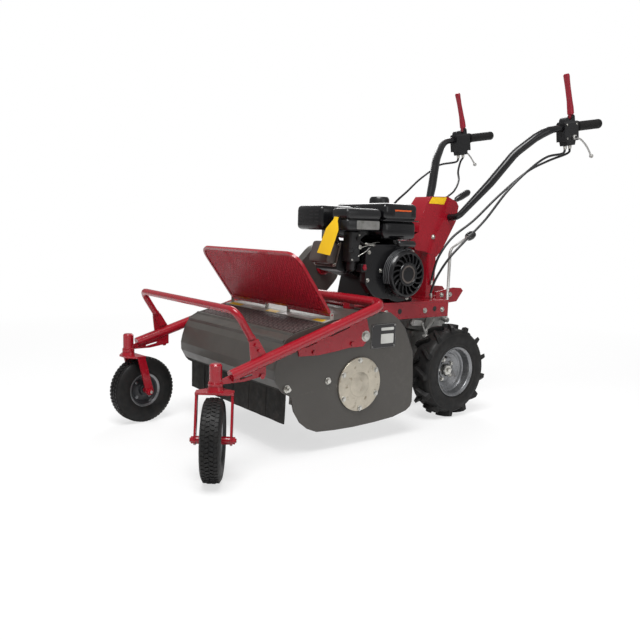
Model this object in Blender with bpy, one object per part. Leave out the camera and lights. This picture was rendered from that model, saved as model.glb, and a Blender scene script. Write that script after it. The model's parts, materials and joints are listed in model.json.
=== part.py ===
"""Walk-behind hammer knife mower: deck with hammer rotor, engine, two drive wheels, two casters.

Lengths are in metres. While it is built, X runs across the machine (+X is the operator's left),
Y runs rearwards from the drive axle and Z is up from the ground. At the end the whole machine is
moved along the ground so that its origin is the middle of its footprint.
"""
import math

import bmesh
import bpy
from mathutils import Vector
from mathutils.geometry import tessellate_polygon

# clearances
GAP = 0.0003            # between pieces that touch
FIT = 0.0004            # round a shaft, pin or rod in its hole
WELD = 0.001            # how far shapes of one piece run into each other

# width of the deck, and what goes with it: inside or outside the faces of its side plates
DECK_HALF = 0.286
PLATE_T = 0.004
LID_INSET = 0.008       # side edges of the lid, inside
DRUM_INSET = 0.031      # end discs of the rotor, inside
ARM_OUT = 0.018         # middle of each frame arm, outside
BRACKET_OUT = 0.010     # brackets of the caster heads, outside
GUARD_OUT = 0.012       # feet of the guard bar, outside
CASTER_OUT = 0.002      # swivels of the casters, outside
BELT_OUT = 0.0595       # middle of the belt, outside
CASE_OUT = 0.039        # inner face of the belt case, outside
CASE_DEPTH = 0.047

# drive wheels
WHEEL_R = 0.167
TRACK_HALF = 0.176
TYRE_HALF = 0.0435
LUG_H = 0.015
LUGS = 13
WHEEL_STEPS = 20        # sides of the drive wheels' rims and tyres
RIM_SEAT = 0.084
RIM_FLANGE = 0.090
RIM_HALF = 0.0405
STUB_R = 0.0125
STUB_END = 0.080        # how far the stub axle reaches in from the wheel's middle
WEB_BACK = 0.020        # inner face of the wheel's centre flange
AXLE_TUBE_R = 0.024

# casters
CASTER_X = DECK_HALF + CASTER_OUT
CASTER_Y = -1.021
CASTER_R = 0.1105
CASTER_HALF = 0.029
CASTER_RIM = 0.0565
CASTER_SEAT = 0.0530
TRAIL = 0.051
TRAIL_LEFT = math.radians(-35)     # way each wheel trails from its swivel, from +X
TRAIL_RIGHT = math.radians(97)
FORK_HALF = 0.047       # middle of each fork leg from the wheel's middle
LEG_T = 0.006
LEG_W = 0.027
FORK_PLATE_Z = 0.2255
CASTER_STEPS = 18       # sides of the casters' rims and tyres, one of them flat on the ground
FORK_PLATE_T = 0.006
BOSS_TOP = 0.2437
HEAD_BOTTOM = 0.2440
HEAD_TOP = 0.302
HEAD_R = 0.0170
STEM_R = 0.0095
CASTER_PIN_R = 0.006

# deck
SHEET_T = 0.003
ROTOR_Y = -0.519
ROTOR_Z = 0.193
BEARING_NECK = 0.016
COVER_R = 0.083
COVER_T = 0.006
CURTAIN_Y = -0.789
CURTAIN_Z = 0.207
CURTAIN_ROD_R = 0.005
STRIPS = 6
STRIP_DROP = 0.104
LID_Y = -0.629
LID_Z = 0.4085
LID_LEAN = math.radians(126.6)     # way the lid points from its hinge, from +Y
LID_LENGTH = 0.226
LID_HALF = DECK_HALF - LID_INSET
HINGE_R = 0.005

# rotor
ROTOR_SHAFT_R = 0.0125
DRUM_R = 0.030
DISC_R = 0.076
DISC_T = 0.006
DRUM_HALF = DECK_HALF - DRUM_INSET
ROD_CIRCLE = 0.062
ROD_R = 0.005
SLEEVE_R = 0.0100
HAMMER_HALF_W = 0.0225
HAMMER_LENGTH = 0.078
HAMMERS_PER_BAY = 2

# front frame
ARM_X = DECK_HALF + ARM_OUT
ARM_R = 0.016
ARM_FRONT_Y = -0.985
ARM_FRONT_Z = 0.268
ARM_REAR_Y = -0.440
ARM_REAR_Z = 0.437
ARM_BEND = 0.050
GUARD_R = 0.0105
GUARD_TOP_Y = -0.968
GUARD_TOP_Z = 0.440
GUARD_FOOT_Y = -0.888
BRACKET_X = DECK_HALF + BRACKET_OUT
BRACKET_T = 0.006
GUSSET_T = 0.004
GUARD_X = DECK_HALF + GUARD_OUT
GUARD_FLAT = 0.058
STRAP_HALF = 0.002

# engine
CRANK_Y = -0.190
CRANK_Z = 0.512
CRANK_R = 0.012
CYL_TILT = math.radians(15)
BED_TOP = 0.412
BED_T = 0.006
BED_HALF = 0.110
BED_FRONT = -0.415
BED_REAR = 0.062
CASE_X0 = -0.090
CASE_X1 = 0.078
CASE_TOP = 0.600
CYL_START = 0.095       # cylinder joint face from the crank
CYL_END = 0.240
CYL_HALF_W = 0.056
CYL_HALF_H = 0.050
FINS = 9
SHROUD_X1 = 0.108
FAN_R = 0.074
RECOIL_R = 0.083
RECOIL_X = 0.150
TANK_BOTTOM = 0.627
TANK_LOWER = 0.063      # from its underside to the seam
TANK_UPPER = 0.060      # from the seam to its top
TANK_SEAM = TANK_BOTTOM + TANK_LOWER
TANK_TOP = TANK_SEAM + TANK_UPPER
INTAKE_Z = 0.655        # underside of the air cleaner and the muffler
CARB_X = 0.098
SWITCH_X = 0.112
SWITCH_Y = -0.361
SWITCH_Z = 0.533
CAP_R = 0.036
ROPE_R = 0.0022
ROPE_DROP = 0.125
NECK_R = 0.0225
CAP_X = -0.021
CAP_Y = -0.184
GRIP_X = 0.136
GRIP_Y = -0.197
GRIP_R = 0.0115

# belt drive on the far side
BELT_X = -DECK_HALF - BELT_OUT
BELT_HALF = 0.0065
BELT_DEPTH = 0.009
ENGINE_PULLEY_R = 0.045
ROTOR_PULLEY_R = 0.055
GUARD_X1 = -DECK_HALF - CASE_OUT
GUARD_X0 = GUARD_X1 - CASE_DEPTH
GUARD_BIG = 0.088
GUARD_SMALL = 0.085
SHEET_GUARD = 0.0025

# post, handlebar and controls
POST_HALF = 0.040
POST_T = 0.0025
PIVOT_Y = 0.118
PIVOT_Z = 0.714
BAR_R = 0.0125
GRIP_BAR_X = 0.258
GRIP_START = (0.405, 1.043)
GRIP_END = (0.690, 1.092)
HAND_R = 0.0175
LEVER_PIN_R = 0.004
STEER_PIN_R = 0.0035
HOUSING_START = 0.045
HOUSING_END = 0.130
HOUSING_LOW = -0.066
COLUMN_HALF = 0.0385
GEAR_PIN_R = 0.0045
GEAR_X = 0.066
GEAR_Y = 0.104
GEAR_PIVOT_Z = 0.330
CABLE_R = 0.0034

WHEEL_Y = 0.0


# shapes

def frame(origin, u, v, w):
    """Places (u, v, w) from an origin along three directions."""
    o, u, v, w = Vector(origin), Vector(u), Vector(v), Vector(w)
    return lambda a, b, c: o + u * a + v * b + w * c


def across(x=0.0, y=0.0, z=0.0):
    """Profiles in the side view (Y, Z), pushed out along X."""
    return frame((x, y, z), (0, 1, 0), (0, 0, 1), (1, 0, 0))


def upright(x=0.0, y=0.0, z=0.0):
    """Profiles in the plan (X, Y), pushed up along Z."""
    return frame((x, y, z), (1, 0, 0), (0, 1, 0), (0, 0, 1))


def outwards(side, y, z, x=0.0):
    """Frame with w pointing away from the middle plane on one side of the machine."""
    return frame((side * x, y, z), (0, 1, 0), (0, 0, 1), (side, 0, 0))


def outwards_at(side, point):
    """The same frame at a given point."""
    return frame(point, (0, 1, 0), (0, 0, 1), (side, 0, 0))


def circle(radius, count, centre=(0.0, 0.0), start=0.0):
    """Points of a full circle."""
    return [(centre[0] + radius * math.cos(start + i * math.tau / count),
             centre[1] + radius * math.sin(start + i * math.tau / count)) for i in range(count)]


def arc(centre, radius, a0, a1, count):
    """Points of an arc between two angles in degrees."""
    angles = [math.radians(a0 + (a1 - a0) * i / (count - 1)) for i in range(count)]
    return [(centre[0] + radius * math.cos(a), centre[1] + radius * math.sin(a)) for a in angles]


def rectangle(a0, a1, b0, b1):
    """Corners of a rectangle."""
    return [(a0, b0), (a1, b0), (a1, b1), (a0, b1)]


def prism(bm, outline, w0, w1, place, holes=()):
    """Pushes an outline, with any holes, from w0 to w1."""
    loops = [list(outline)] + [list(h) for h in holes]
    flat = [p for loop in loops for p in loop]
    low = [bm.verts.new(place(p[0], p[1], w0)) for p in flat]
    high = [bm.verts.new(place(p[0], p[1], w1)) for p in flat]
    for tri in tessellate_polygon([[Vector((p[0], p[1], 0)) for p in loop] for loop in loops]):
        bm.faces.new([low[i] for i in tri])
        bm.faces.new([high[i] for i in tri])
    base = 0
    for loop in loops:
        count = len(loop)
        for i in range(count):
            a, b = base + i, base + (i + 1) % count
            bm.faces.new((low[a], low[b], high[b], high[a]))
        base += count


def turned(bm, profile, steps, place, start=0.0):
    """Turns a closed profile of (radius, height) pairs about the third direction of place."""
    rings = []
    for r, h in profile:
        if r < 1e-6:
            rings.append([bm.verts.new(place(0, 0, h))])
        else:
            rings.append([bm.verts.new(place(r * math.cos(start + i * math.tau / steps),
                                             r * math.sin(start + i * math.tau / steps), h))
                          for i in range(steps)])
    for k, ring in enumerate(rings):
        other = rings[(k + 1) % len(rings)]
        if len(ring) == 1 and len(other) == 1:
            continue
        for i in range(steps):
            j = (i + 1) % steps
            corners = [ring[i % len(ring)], ring[j % len(ring)], other[j % len(other)], other[i % len(other)]]
            bm.faces.new(list(dict.fromkeys(corners)))


def rod(bm, radius, w0, w1, place, steps=12, bore=0.0):
    """A straight round bar or, with a bore, a straight tube."""
    turned(bm, [(bore, w0), (radius, w0), (radius, w1), (bore, w1)], steps, place)


def tube(bm, points, radius, sides):
    """A round bar along a path, with flat ends."""
    points = [Vector(p) for p in points]
    normal = None
    rings = []
    for i, p in enumerate(points):
        along = (points[min(i + 1, len(points) - 1)] - points[max(i - 1, 0)]).normalized()
        if normal is None:
            normal = along.orthogonal().normalized()
        normal = (normal - along * normal.dot(along)).normalized()
        side = along.cross(normal)
        rings.append([bm.verts.new(p + (normal * math.cos(k * math.tau / sides)
                                        + side * math.sin(k * math.tau / sides)) * radius)
                      for k in range(sides)])
    for a, b in zip(rings, rings[1:]):
        for k in range(sides):
            j = (k + 1) % sides
            bm.faces.new((a[k], a[j], b[j], b[k]))
    bm.faces.new(rings[0])
    bm.faces.new(rings[-1])


def bent_path(corners, radii, turn=18):
    """A path of straight runs whose inner corners are rounded, with a point about every turn degrees."""
    corners = [Vector(c) for c in corners]
    path = [corners[0]]
    for i, radius in enumerate(radii, 1):
        before = (corners[i - 1] - corners[i]).normalized()
        after = (corners[i + 1] - corners[i]).normalized()
        half = before.angle(after) / 2
        middle = (before + after).normalized()
        centre = corners[i] + middle * (radius / math.sin(half))
        start = corners[i] + before * (radius / math.tan(half))
        end = corners[i] + after * (radius / math.tan(half))
        steps = max(1, round(math.degrees(math.pi - 2 * half) / turn))
        for k in range(steps + 1):
            arm = (start - centre).normalized().slerp((end - centre).normalized(), k / steps)
            path.append(centre + arm * radius)
    path.append(corners[-1])
    return path


def smooth_path(knots, count):
    """Points of one smooth curve through the given knots."""
    knots = [Vector(k) for k in knots]
    ends = [2 * knots[0] - knots[1]] + knots + [2 * knots[-1] - knots[-2]]
    out = []
    for i in range(count):
        t = i * (len(knots) - 1) / (count - 1)
        k = min(int(t), len(knots) - 2)
        f = t - k
        a, b, c, d = ends[k:k + 4]
        out.append(0.5 * (2 * b + (c - a) * f + (2 * a - 5 * b + 4 * c - d) * f * f
                          + (3 * b - a - 3 * c + d) * f * f * f))
    return out


def rounded_box(bm, size, radius, place, segments=2):
    """A box with round edges; size is ((u0, u1), (v0, v1), (w0, w1))."""
    block = bmesh.new()
    bmesh.ops.create_cube(block, size=1.0)
    for v in block.verts:
        v.co = Vector([low + (c + 0.5) * (high - low) for c, (low, high) in zip(v.co, size)])
    bmesh.ops.bevel(block, geom=block.edges[:], offset=radius, segments=segments, affect="EDGES", profile=0.5)
    for v in block.verts:
        v.co = place(*v.co)
    mesh = bpy.data.meshes.new("block")
    block.to_mesh(mesh)
    block.free()
    bm.from_mesh(mesh)
    bpy.data.meshes.remove(mesh)


def box(bm, x0, x1, y0, y1, z0, z1):
    """A plain box along the machine's own axes."""
    prism(bm, rectangle(x0, x1, y0, y1), z0, z1, upright())


def hexagon(bm, size, w0, w1, place):
    """A hexagonal bolt head or nut; size is half its width across corners."""
    prism(bm, circle(size, 6, start=0.13), w0, w1, place)


def band(centre_a, radius_a, centre_b, radius_b, count=14):
    """The outline of a belt round two circles, first one above and behind the second."""
    a, b = Vector(centre_a), Vector(centre_b)
    turn = math.atan2(b.y - a.y, b.x - a.x)
    lean = math.acos((radius_a - radius_b) / (b - a).length)
    out = []
    for centre, radius, first, last in ((a, radius_a, turn + lean, turn + math.tau - lean),
                                        (b, radius_b, turn - lean, turn + lean)):
        for i in range(count):
            t = first + (last - first) * i / (count - 1)
            out.append((centre.x + radius * math.cos(t), centre.y + radius * math.sin(t)))
    return out


def inset_line(points, depth):
    """The open line that runs at one depth beside another."""
    points = [Vector(p) for p in points]
    out = []
    for i, p in enumerate(points):
        before = (p - points[i - 1]).normalized() if i else None
        after = (points[i + 1] - p).normalized() if i + 1 < len(points) else None
        before = before or after
        after = after or before
        normal = Vector((-before.y - after.y, before.x + after.x)).normalized()
        scale = max(0.4, normal.dot(Vector((-before.y, before.x))))
        out.append(p + normal * (depth / scale))
    return [tuple(p) for p in out]


# objects

BODIES = {}


def body(name, origin, parent=None):
    """An empty on a joint's axis, which carries the pieces that move with it."""
    empty = bpy.data.objects.new("axis_" + name, None)
    bpy.context.scene.collection.objects.link(empty)
    empty.empty_display_size = 0.03
    at = Vector(origin)
    if parent:
        empty.parent = BODIES[parent][0]
        empty.location = at - BODIES[parent][1]
    else:
        empty.location = at
    BODIES[name] = (empty, at)


def islands(bm):
    """The separate shapes in a bmesh, each as a mesh."""
    seen, out = set(), []
    for first in bm.verts:
        if first in seen:
            continue
        group, queue = [], [first]
        seen.add(first)
        while queue:
            at = queue.pop()
            group.append(at)
            for edge in at.link_edges:
                other = edge.other_vert(at)
                if other not in seen:
                    seen.add(other)
                    queue.append(other)
        number = {v: i for i, v in enumerate(group)}
        faces = {f for v in group for f in v.link_faces}
        mesh = bpy.data.meshes.new("shape")
        mesh.from_pydata([v.co for v in group], [], [[number[v] for v in f.verts] for f in faces])
        out.append(mesh)
    return out


def applied(base, others, operation):
    """The base mesh after a Boolean with each of the others."""
    scene = bpy.context.scene.collection
    target = bpy.data.objects.new("base", base)
    scene.objects.link(target)
    made = [target]
    for mesh in others:
        other = bpy.data.objects.new("other", mesh)
        scene.objects.link(other)
        made.append(other)
        step = target.modifiers.new("step", "BOOLEAN")
        step.operation = operation
        step.object = other
    graph = bpy.context.evaluated_depsgraph_get()
    bm = bmesh.new()
    bm.from_mesh(target.evaluated_get(graph).to_mesh())
    target.evaluated_get(graph).to_mesh_clear()
    for ob in made:
        mesh = ob.data
        bpy.data.objects.remove(ob)
        bpy.data.meshes.remove(mesh)
    return bm


def fused(bm):
    """Joins the overlapping shapes of one piece into a single closed body."""
    bmesh.ops.recalc_face_normals(bm, faces=bm.faces[:])
    shapes = islands(bm)
    bm.free()
    return applied(shapes[0], shapes[1:], "UNION")


def combine(bm, other, operation):
    """One bmesh with another joined to it or cut from it."""
    for each in (bm, other):
        bmesh.ops.recalc_face_normals(each, faces=each.faces[:])
    base = bpy.data.meshes.new("base")
    bm.to_mesh(base)
    bm.free()
    shapes = islands(other)
    other.free()
    return applied(base, shapes, operation)


def paint(name, colour, rough, metal):
    """A plain material."""
    stuff = bpy.data.materials.new(name)
    stuff.use_nodes = True
    shader = stuff.node_tree.nodes["Principled BSDF"]
    shader.inputs["Base Color"].default_value = (*colour, 1.0)
    shader.inputs["Roughness"].default_value = rough
    shader.inputs["Metallic"].default_value = metal
    return stuff


def node(name, bm, colour, rough, metal=0.0, carrier=None, crease=32):
    """Makes one named piece with its own material."""
    at = BODIES[carrier][1] if carrier else Vector((0, 0, 0))
    bm = fused(bm)
    bmesh.ops.recalc_face_normals(bm, faces=bm.faces[:])
    bmesh.ops.dissolve_limit(bm, angle_limit=math.radians(0.1), verts=bm.verts[:], edges=bm.edges[:])
    bmesh.ops.translate(bm, verts=bm.verts[:], vec=-at)
    mesh = bpy.data.meshes.new(name)
    bm.to_mesh(mesh)
    bm.free()
    mesh.materials.clear()
    mesh.shade_smooth()
    mesh.set_sharp_from_angle(angle=math.radians(crease))
    mesh.materials.append(paint(name, colour, rough, metal))
    made = bpy.data.objects.new(name, mesh)
    bpy.context.scene.collection.objects.link(made)
    if carrier:
        made.parent = BODIES[carrier][0]


RED = (0.33, 0.012, 0.022)
GREY = (0.090, 0.085, 0.078)
BLACK = (0.010, 0.010, 0.011)
RUBBER = (0.013, 0.013, 0.013)
ZINC = (0.45, 0.44, 0.42)
STEEL = (0.22, 0.21, 0.20)


# deck

HOOD_BASE = [(-0.300, 0.285), (-0.332, 0.351), (-0.360, 0.380), (-0.400, 0.4052), (-0.500, 0.4052),
             (-0.629, 0.393), (-0.770, 0.360), (-0.796, 0.346), (-0.815, 0.318), (-0.826, 0.284), (-0.831, 0.262),
             (-0.830, 0.236), (-0.813, 0.209)]
RIDGES = {(-0.629, 0.393): [(-0.762, 0.3619), (-0.766, 0.3655), (-0.771, 0.3645), (-0.774, 0.3580)],
          (-0.770, 0.360): [],
          (-0.796, 0.346): [(-0.7985, 0.3490), (-0.8035, 0.3455), (-0.8035, 0.3357)]}
ROTOR = (ROTOR_Y, ROTOR_Z)
CRANK = (CRANK_Y, CRANK_Z)


def hood_z(y):
    """Height of the hood's top at a distance from the drive axle."""
    line = sorted(HOOD_BASE[3:8])
    for (y0, z0), (y1, z1) in zip(line, line[1:]):
        if y0 <= y <= y1:
            return z0 + (z1 - z0) * (y - y0) / (y1 - y0)
    return line[-1][1]


def arm_z(y):
    """Height of the frame arm's middle line."""
    return ARM_FRONT_Z + (ARM_REAR_Z - ARM_FRONT_Z) * (y - ARM_FRONT_Y) / (ARM_REAR_Y - ARM_FRONT_Y)


ARM_DROP = ARM_R / math.cos(math.atan2(ARM_REAR_Z - ARM_FRONT_Z, ARM_REAR_Y - ARM_FRONT_Y))


def side_plates():
    """The two grey side plates, cut to the hood's line at the top and rounded below."""
    top = [(y, z + 0.002) for y, z in HOOD_BASE[::-1]][1:]
    low = [(-0.286, 0.173), (-0.286, 0.110), (-0.292, 0.095), (-0.311, 0.083), (-0.368, 0.069), (-0.450, 0.063),
           (-0.534, 0.060), (-0.610, 0.061), (-0.677, 0.065), (-0.711, 0.079), (-0.739, 0.101), (-0.763, 0.138),
           (-0.774, 0.182), (-0.802, 0.196)]
    outline = [(-0.8125, 0.207)] + top + [(-0.293, 0.276)] + low
    rod_hole = circle(CURTAIN_ROD_R + FIT, 12, (CURTAIN_Y, CURTAIN_Z))
    shaft_hole = circle(BEARING_NECK + FIT, 20, ROTOR)
    for name, side in (("side_plate_left", 1), ("side_plate_right", -1)):
        bm = bmesh.new()
        prism(bm, outline, side * (DECK_HALF - PLATE_T), side * DECK_HALF, across(), [rod_hole, shaft_hole])
        hexagon(bm, 0.007, DECK_HALF - WELD, DECK_HALF + 0.005, outwards(side, -0.640, 0.215))
        node(name, bm, GREY, 0.42, 0.3)


def hood():
    """One bent sheet between the side plates: rear fall, flat top, two ridges and curved front."""
    half = DECK_HALF - PLATE_T - GAP
    inner = inset_line(HOOD_BASE, SHEET_T)
    outer = []
    for point in HOOD_BASE:
        outer.append(point)
        outer += RIDGES.get(point, [])
    bm = bmesh.new()
    prism(bm, outer + inner[::-1], -half, half, across())
    node("hood", bm, GREY, 0.40, 0.3)


def hinge_strip():
    """Pale leaf across the hood, whose four ears carry the lid's hinge pins."""
    bm = bmesh.new()
    low = [(LID_Y - 0.028, hood_z(LID_Y - 0.028) + GAP), (LID_Y, hood_z(LID_Y) + GAP),
           (LID_Y + 0.007, hood_z(LID_Y + 0.007) + GAP)]
    high = [(y, z + 0.0025) for y, z in low]
    prism(bm, low + high[::-1], -LID_HALF - 0.0035, LID_HALF + 0.0035, across())
    ear = rectangle(LID_Y - 0.006, LID_Y + 0.006, high[1][1] - WELD, LID_Z + 0.005)
    for side in (-1, 1):
        for x in (LID_HALF + 0.0005, 0.060):
            prism(bm, ear, side * x, side * (x + 0.0027), across(), [circle(0.003 + FIT, 10, (LID_Y, LID_Z))])
    node("hinge_strip", bm, (0.42, 0.40, 0.36), 0.40, 0.4)


def rotor_cover():
    """Bright bearing cover with its ring of bolts; its bearing housing reaches in through the plate."""
    face = DECK_HALF + GAP
    inner = DECK_HALF - PLATE_T - GAP
    bore = ROTOR_SHAFT_R + FIT
    top = face + COVER_T
    bm = bmesh.new()
    turned(bm, [(0, face), (bore, face), (bore, inner - 0.020), (0.024, inner - 0.020), (0.036, inner - 0.008),
                (0.036, inner), (BEARING_NECK, inner), (BEARING_NECK, face), (COVER_R, face),
                (COVER_R, top - 0.001), (COVER_R - 0.001, top), (0.034, top), (0.028, top + 0.004),
                (0, top + 0.005)], 20, across(0, *ROTOR))
    for y, z in circle(COVER_R - 0.011, 8, ROTOR, 0.2):
        hexagon(bm, 0.0062, top - WELD, top + 0.0045, across(0, y, z))
    node("rotor_cover", bm, (0.36, 0.34, 0.28), 0.38, 0.85)


def rotor_bearing():
    """Right bearing housing, which passes through its plate and reaches out to the belt case."""
    bm = bmesh.new()
    inner = DECK_HALF - PLATE_T - GAP
    bore = ROTOR_SHAFT_R + FIT
    face = DECK_HALF + GAP
    turned(bm, [(bore, 0.020 - inner), (0.024, 0.020 - inner), (0.036, 0.008 - inner), (0.036, -inner),
                (BEARING_NECK, -inner), (BEARING_NECK, -face), (0.034, -face), (0.034, -face - 0.006),
                (0.024, -face - 0.010), (0.024, GUARD_X1 + GAP), (bore, GUARD_X1 + GAP)],
           16, across(0, *ROTOR))
    node("rotor_bearing_right", bm, STEEL, 0.45, 0.7)


def curtain():
    """Rod under the hood's front edge with its end nuts, and the rubber flap in strips that swings on it."""
    reach = DECK_HALF + 0.016
    bm = bmesh.new()
    here = across(0, CURTAIN_Y, CURTAIN_Z)
    rod(bm, CURTAIN_ROD_R, -reach, reach, here, 8)
    for side in (-1, 1):
        near = side * (DECK_HALF + GAP)
        rod(bm, 0.0115, near, near + side * 0.002, here, 12)
        rod(bm, 0.009, near + side * 0.001, near + side * 0.009, here, 6)
    node("curtain_rod", bm, ZINC, 0.35, 0.85)
    body("curtain", (0, CURTAIN_Y, CURTAIN_Z))
    bm = bmesh.new()
    half = DECK_HALF - PLATE_T - 0.002
    hub = 0.0115
    rod(bm, hub, -half, half, here, 16, CURTAIN_ROD_R + FIT)
    pitch = 2 * half / STRIPS
    neck = (CURTAIN_ROD_R + FIT + hub) / 2
    for i in range(STRIPS):
        x = -half + pitch * (i + 0.5)
        prism(bm, rectangle(-0.0055, 0.0055, -STRIP_DROP, -neck), x - pitch / 2 + 0.001, x + pitch / 2 - 0.001, here)
    node("curtain", bm, RUBBER, 0.75, 0.0, "curtain")


def lid():
    """Red plate with a rolled border and round top corners, on the hinge behind the strip."""
    body("lid", (0, LID_Y, LID_Z))
    up = (0, math.cos(LID_LEAN), math.sin(LID_LEAN))
    out = (0, -math.sin(LID_LEAN), math.cos(LID_LEAN))
    place = frame((0, LID_Y, LID_Z), (1, 0, 0), up, out)
    foot = 0.0085
    corner = 0.045

    def outline(inset, low):
        half = LID_HALF - inset
        top = LID_LENGTH - inset
        r = corner - inset
        right = arc((half - r, top - r), r, 0, 90, 6)
        left = arc((-half + r, top - r), r, 90, 180, 6)
        return [(half, low)] + right + left + [(-half, low)]

    outer, inner = outline(0, foot), outline(0.009, foot + 0.009)
    thick, rim = 0.0015, 0.0045
    bm = bmesh.new()
    loops = [[bm.verts.new(place(u, v, w)) for u, v in line]
             for line, w in ((inner, -thick), (inner, -rim), (outer, -rim), (outer, rim), (inner, rim),
                             (inner, thick))]
    for a, b in zip(loops, loops[1:]):
        for i in range(len(a)):
            j = (i + 1) % len(a)
            bm.faces.new((a[i], a[j], b[j], b[i]))
    bm.faces.new(loops[0])
    bm.faces.new(loops[-1])
    hinge = across(0, LID_Y, LID_Z)
    barrel = LID_HALF - 0.0035
    for side in (-1, 1):
        rod(bm, HINGE_R, side * 0.0665, side * barrel, hinge, 12)
        rod(bm, 0.003, side * (0.0665 - 0.0062), side * 0.070, hinge, 10)
        rod(bm, 0.003, side * (barrel - 0.0045), side * (LID_HALF + 0.0030), hinge, 10)
        leaf = frame((0, LID_Y, LID_Z), (1, 0, 0), up, out)
        prism(bm, rectangle(side * 0.0668, side * (barrel - GAP), 0.002, foot + 0.004), -0.0018, 0.0018, leaf)
    node("lid", bm, RED, 0.32, 0.0, "lid")


def discs():
    """Where the rotor's four discs start and end along the shaft."""
    step = (2 * DRUM_HALF - DISC_T) / 3
    return [(-DRUM_HALF + step * k, -DRUM_HALF + step * k + DISC_T) for k in range(4)]


# rotor and belt drive


def rotor():
    """Rotor tube with four discs, its shaft ends, pulley and hammer rods, and three rows of hammers."""
    body("rotor", (0, *ROTOR))
    here = across(0, *ROTOR)
    left_end = DECK_HALF - PLATE_T - 0.002
    belt0, belt1 = BELT_X - BELT_HALF - GAP, BELT_X + BELT_HALF + GAP
    groove = ROTOR_PULLEY_R - BELT_DEPTH - GAP
    profile = [(0, left_end), (ROTOR_SHAFT_R, left_end)]
    for k, (a, b) in enumerate(discs()[::-1]):
        hub = ROTOR_SHAFT_R if k == 0 else DRUM_R
        after = ROTOR_SHAFT_R if k == 3 else DRUM_R
        profile += [(hub, b), (DISC_R, b), (DISC_R, a), (after, a)]
    profile += [(ROTOR_SHAFT_R, belt1 + 0.003), (ROTOR_PULLEY_R, belt1 + 0.003), (ROTOR_PULLEY_R, belt1),
                (groove, belt1), (groove, belt0), (ROTOR_PULLEY_R, belt0), (ROTOR_PULLEY_R, belt0 - 0.003),
                (0, belt0 - 0.003)]
    bm = bmesh.new()
    turned(bm, profile, 14, here)
    angles = [math.radians(a) for a in (-90, 30, 150)]
    seats = [(ROTOR_Y + ROD_CIRCLE * math.cos(t), ROTOR_Z + ROD_CIRCLE * math.sin(t)) for t in angles]
    inner_edge = DRUM_HALF - DISC_T
    holes = bmesh.new()
    for at in seats:
        rod(holes, SLEEVE_R + FIT, -inner_edge + 0.02, inner_edge - 0.02, across(0, *at), 12)
    bm = combine(bm, holes, "DIFFERENCE")
    for at in seats:
        rod(bm, ROD_R, -inner_edge - DISC_T / 2, inner_edge + DISC_T / 2, across(0, *at), 8)
    node("rotor", bm, STEEL, 0.5, 0.8, "rotor")
    for letter, at in zip("abc", seats):
        body("hammers_" + letter, (0, *at), "rotor")
        bm = bmesh.new()
        rod(bm, SLEEVE_R, -inner_edge + GAP, inner_edge - GAP, across(0, *at), 12, ROD_R + FIT)
        neck = (ROD_R + FIT + SLEEVE_R) / 2
        blade = [(0.0065, -neck), (-0.0065, -neck), (-0.009, -HAMMER_LENGTH), (0.009, -HAMMER_LENGTH)]
        bays = [(p[1], q[0]) for p, q in zip(discs(), discs()[1:])]
        for a, b in bays:
            for k in range(HAMMERS_PER_BAY):
                x = a + (b - a) * (k + 0.5) / HAMMERS_PER_BAY
                prism(bm, blade, x - HAMMER_HALF_W, x + HAMMER_HALF_W, across(0, *at))
        node("hammers_" + letter, bm, (0.16, 0.15, 0.14), 0.55, 0.8, "hammers_" + letter)


def crank():
    """Crankshaft with the fan flywheel at one end and the belt pulley at the other."""
    body("crank", (0, *CRANK))
    belt0, belt1 = BELT_X - BELT_HALF - GAP, BELT_X + BELT_HALF + GAP
    groove = ENGINE_PULLEY_R - BELT_DEPTH - GAP
    profile = [(0, SHROUD_X1), (CRANK_R, SHROUD_X1), (CRANK_R, 0.104), (FAN_R, 0.104), (FAN_R, 0.086),
               (CRANK_R, 0.086), (CRANK_R, belt1 + 0.003), (ENGINE_PULLEY_R, belt1 + 0.003),
               (ENGINE_PULLEY_R, belt1), (groove, belt1), (groove, belt0), (ENGINE_PULLEY_R, belt0),
               (ENGINE_PULLEY_R, belt0 - 0.003), (0, belt0 - 0.003)]
    bm = bmesh.new()
    turned(bm, profile, 16, across(0, *CRANK))
    node("crankshaft", bm, STEEL, 0.4, 0.85, "crank")


def belt_drive():
    """V-belt from the engine pulley to the rotor pulley, and the grey case round it."""
    bm = bmesh.new()
    bottom = BELT_DEPTH - 0.0006
    inner = band(CRANK, ENGINE_PULLEY_R - bottom, ROTOR, ROTOR_PULLEY_R - bottom)
    outer = band(CRANK, ENGINE_PULLEY_R - 0.0005, ROTOR, ROTOR_PULLEY_R - 0.0005)
    prism(bm, outer, BELT_X - BELT_HALF, BELT_X + BELT_HALF, across(), [inner])
    node("drive_belt", bm, RUBBER, 0.8)
    bm, hollow = bmesh.new(), bmesh.new()
    wall = SHEET_GUARD
    prism(bm, band(CRANK, GUARD_BIG, ROTOR, GUARD_SMALL), GUARD_X0, GUARD_X1, across())
    prism(hollow, band(CRANK, GUARD_BIG - wall, ROTOR, GUARD_SMALL - wall), GUARD_X0 + wall, GUARD_X1 - wall,
          across())
    for at, radius in ((CRANK, CRANK_R), (ROTOR, ROTOR_SHAFT_R)):
        rod(hollow, radius + 0.003, GUARD_X1 - 2 * wall, GUARD_X1 + wall, across(0, *at), 14)
    bm = combine(bm, fused(hollow), "DIFFERENCE")
    node("belt_guard", bm, GREY, 0.42, 0.3)


# front frame and casters


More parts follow.
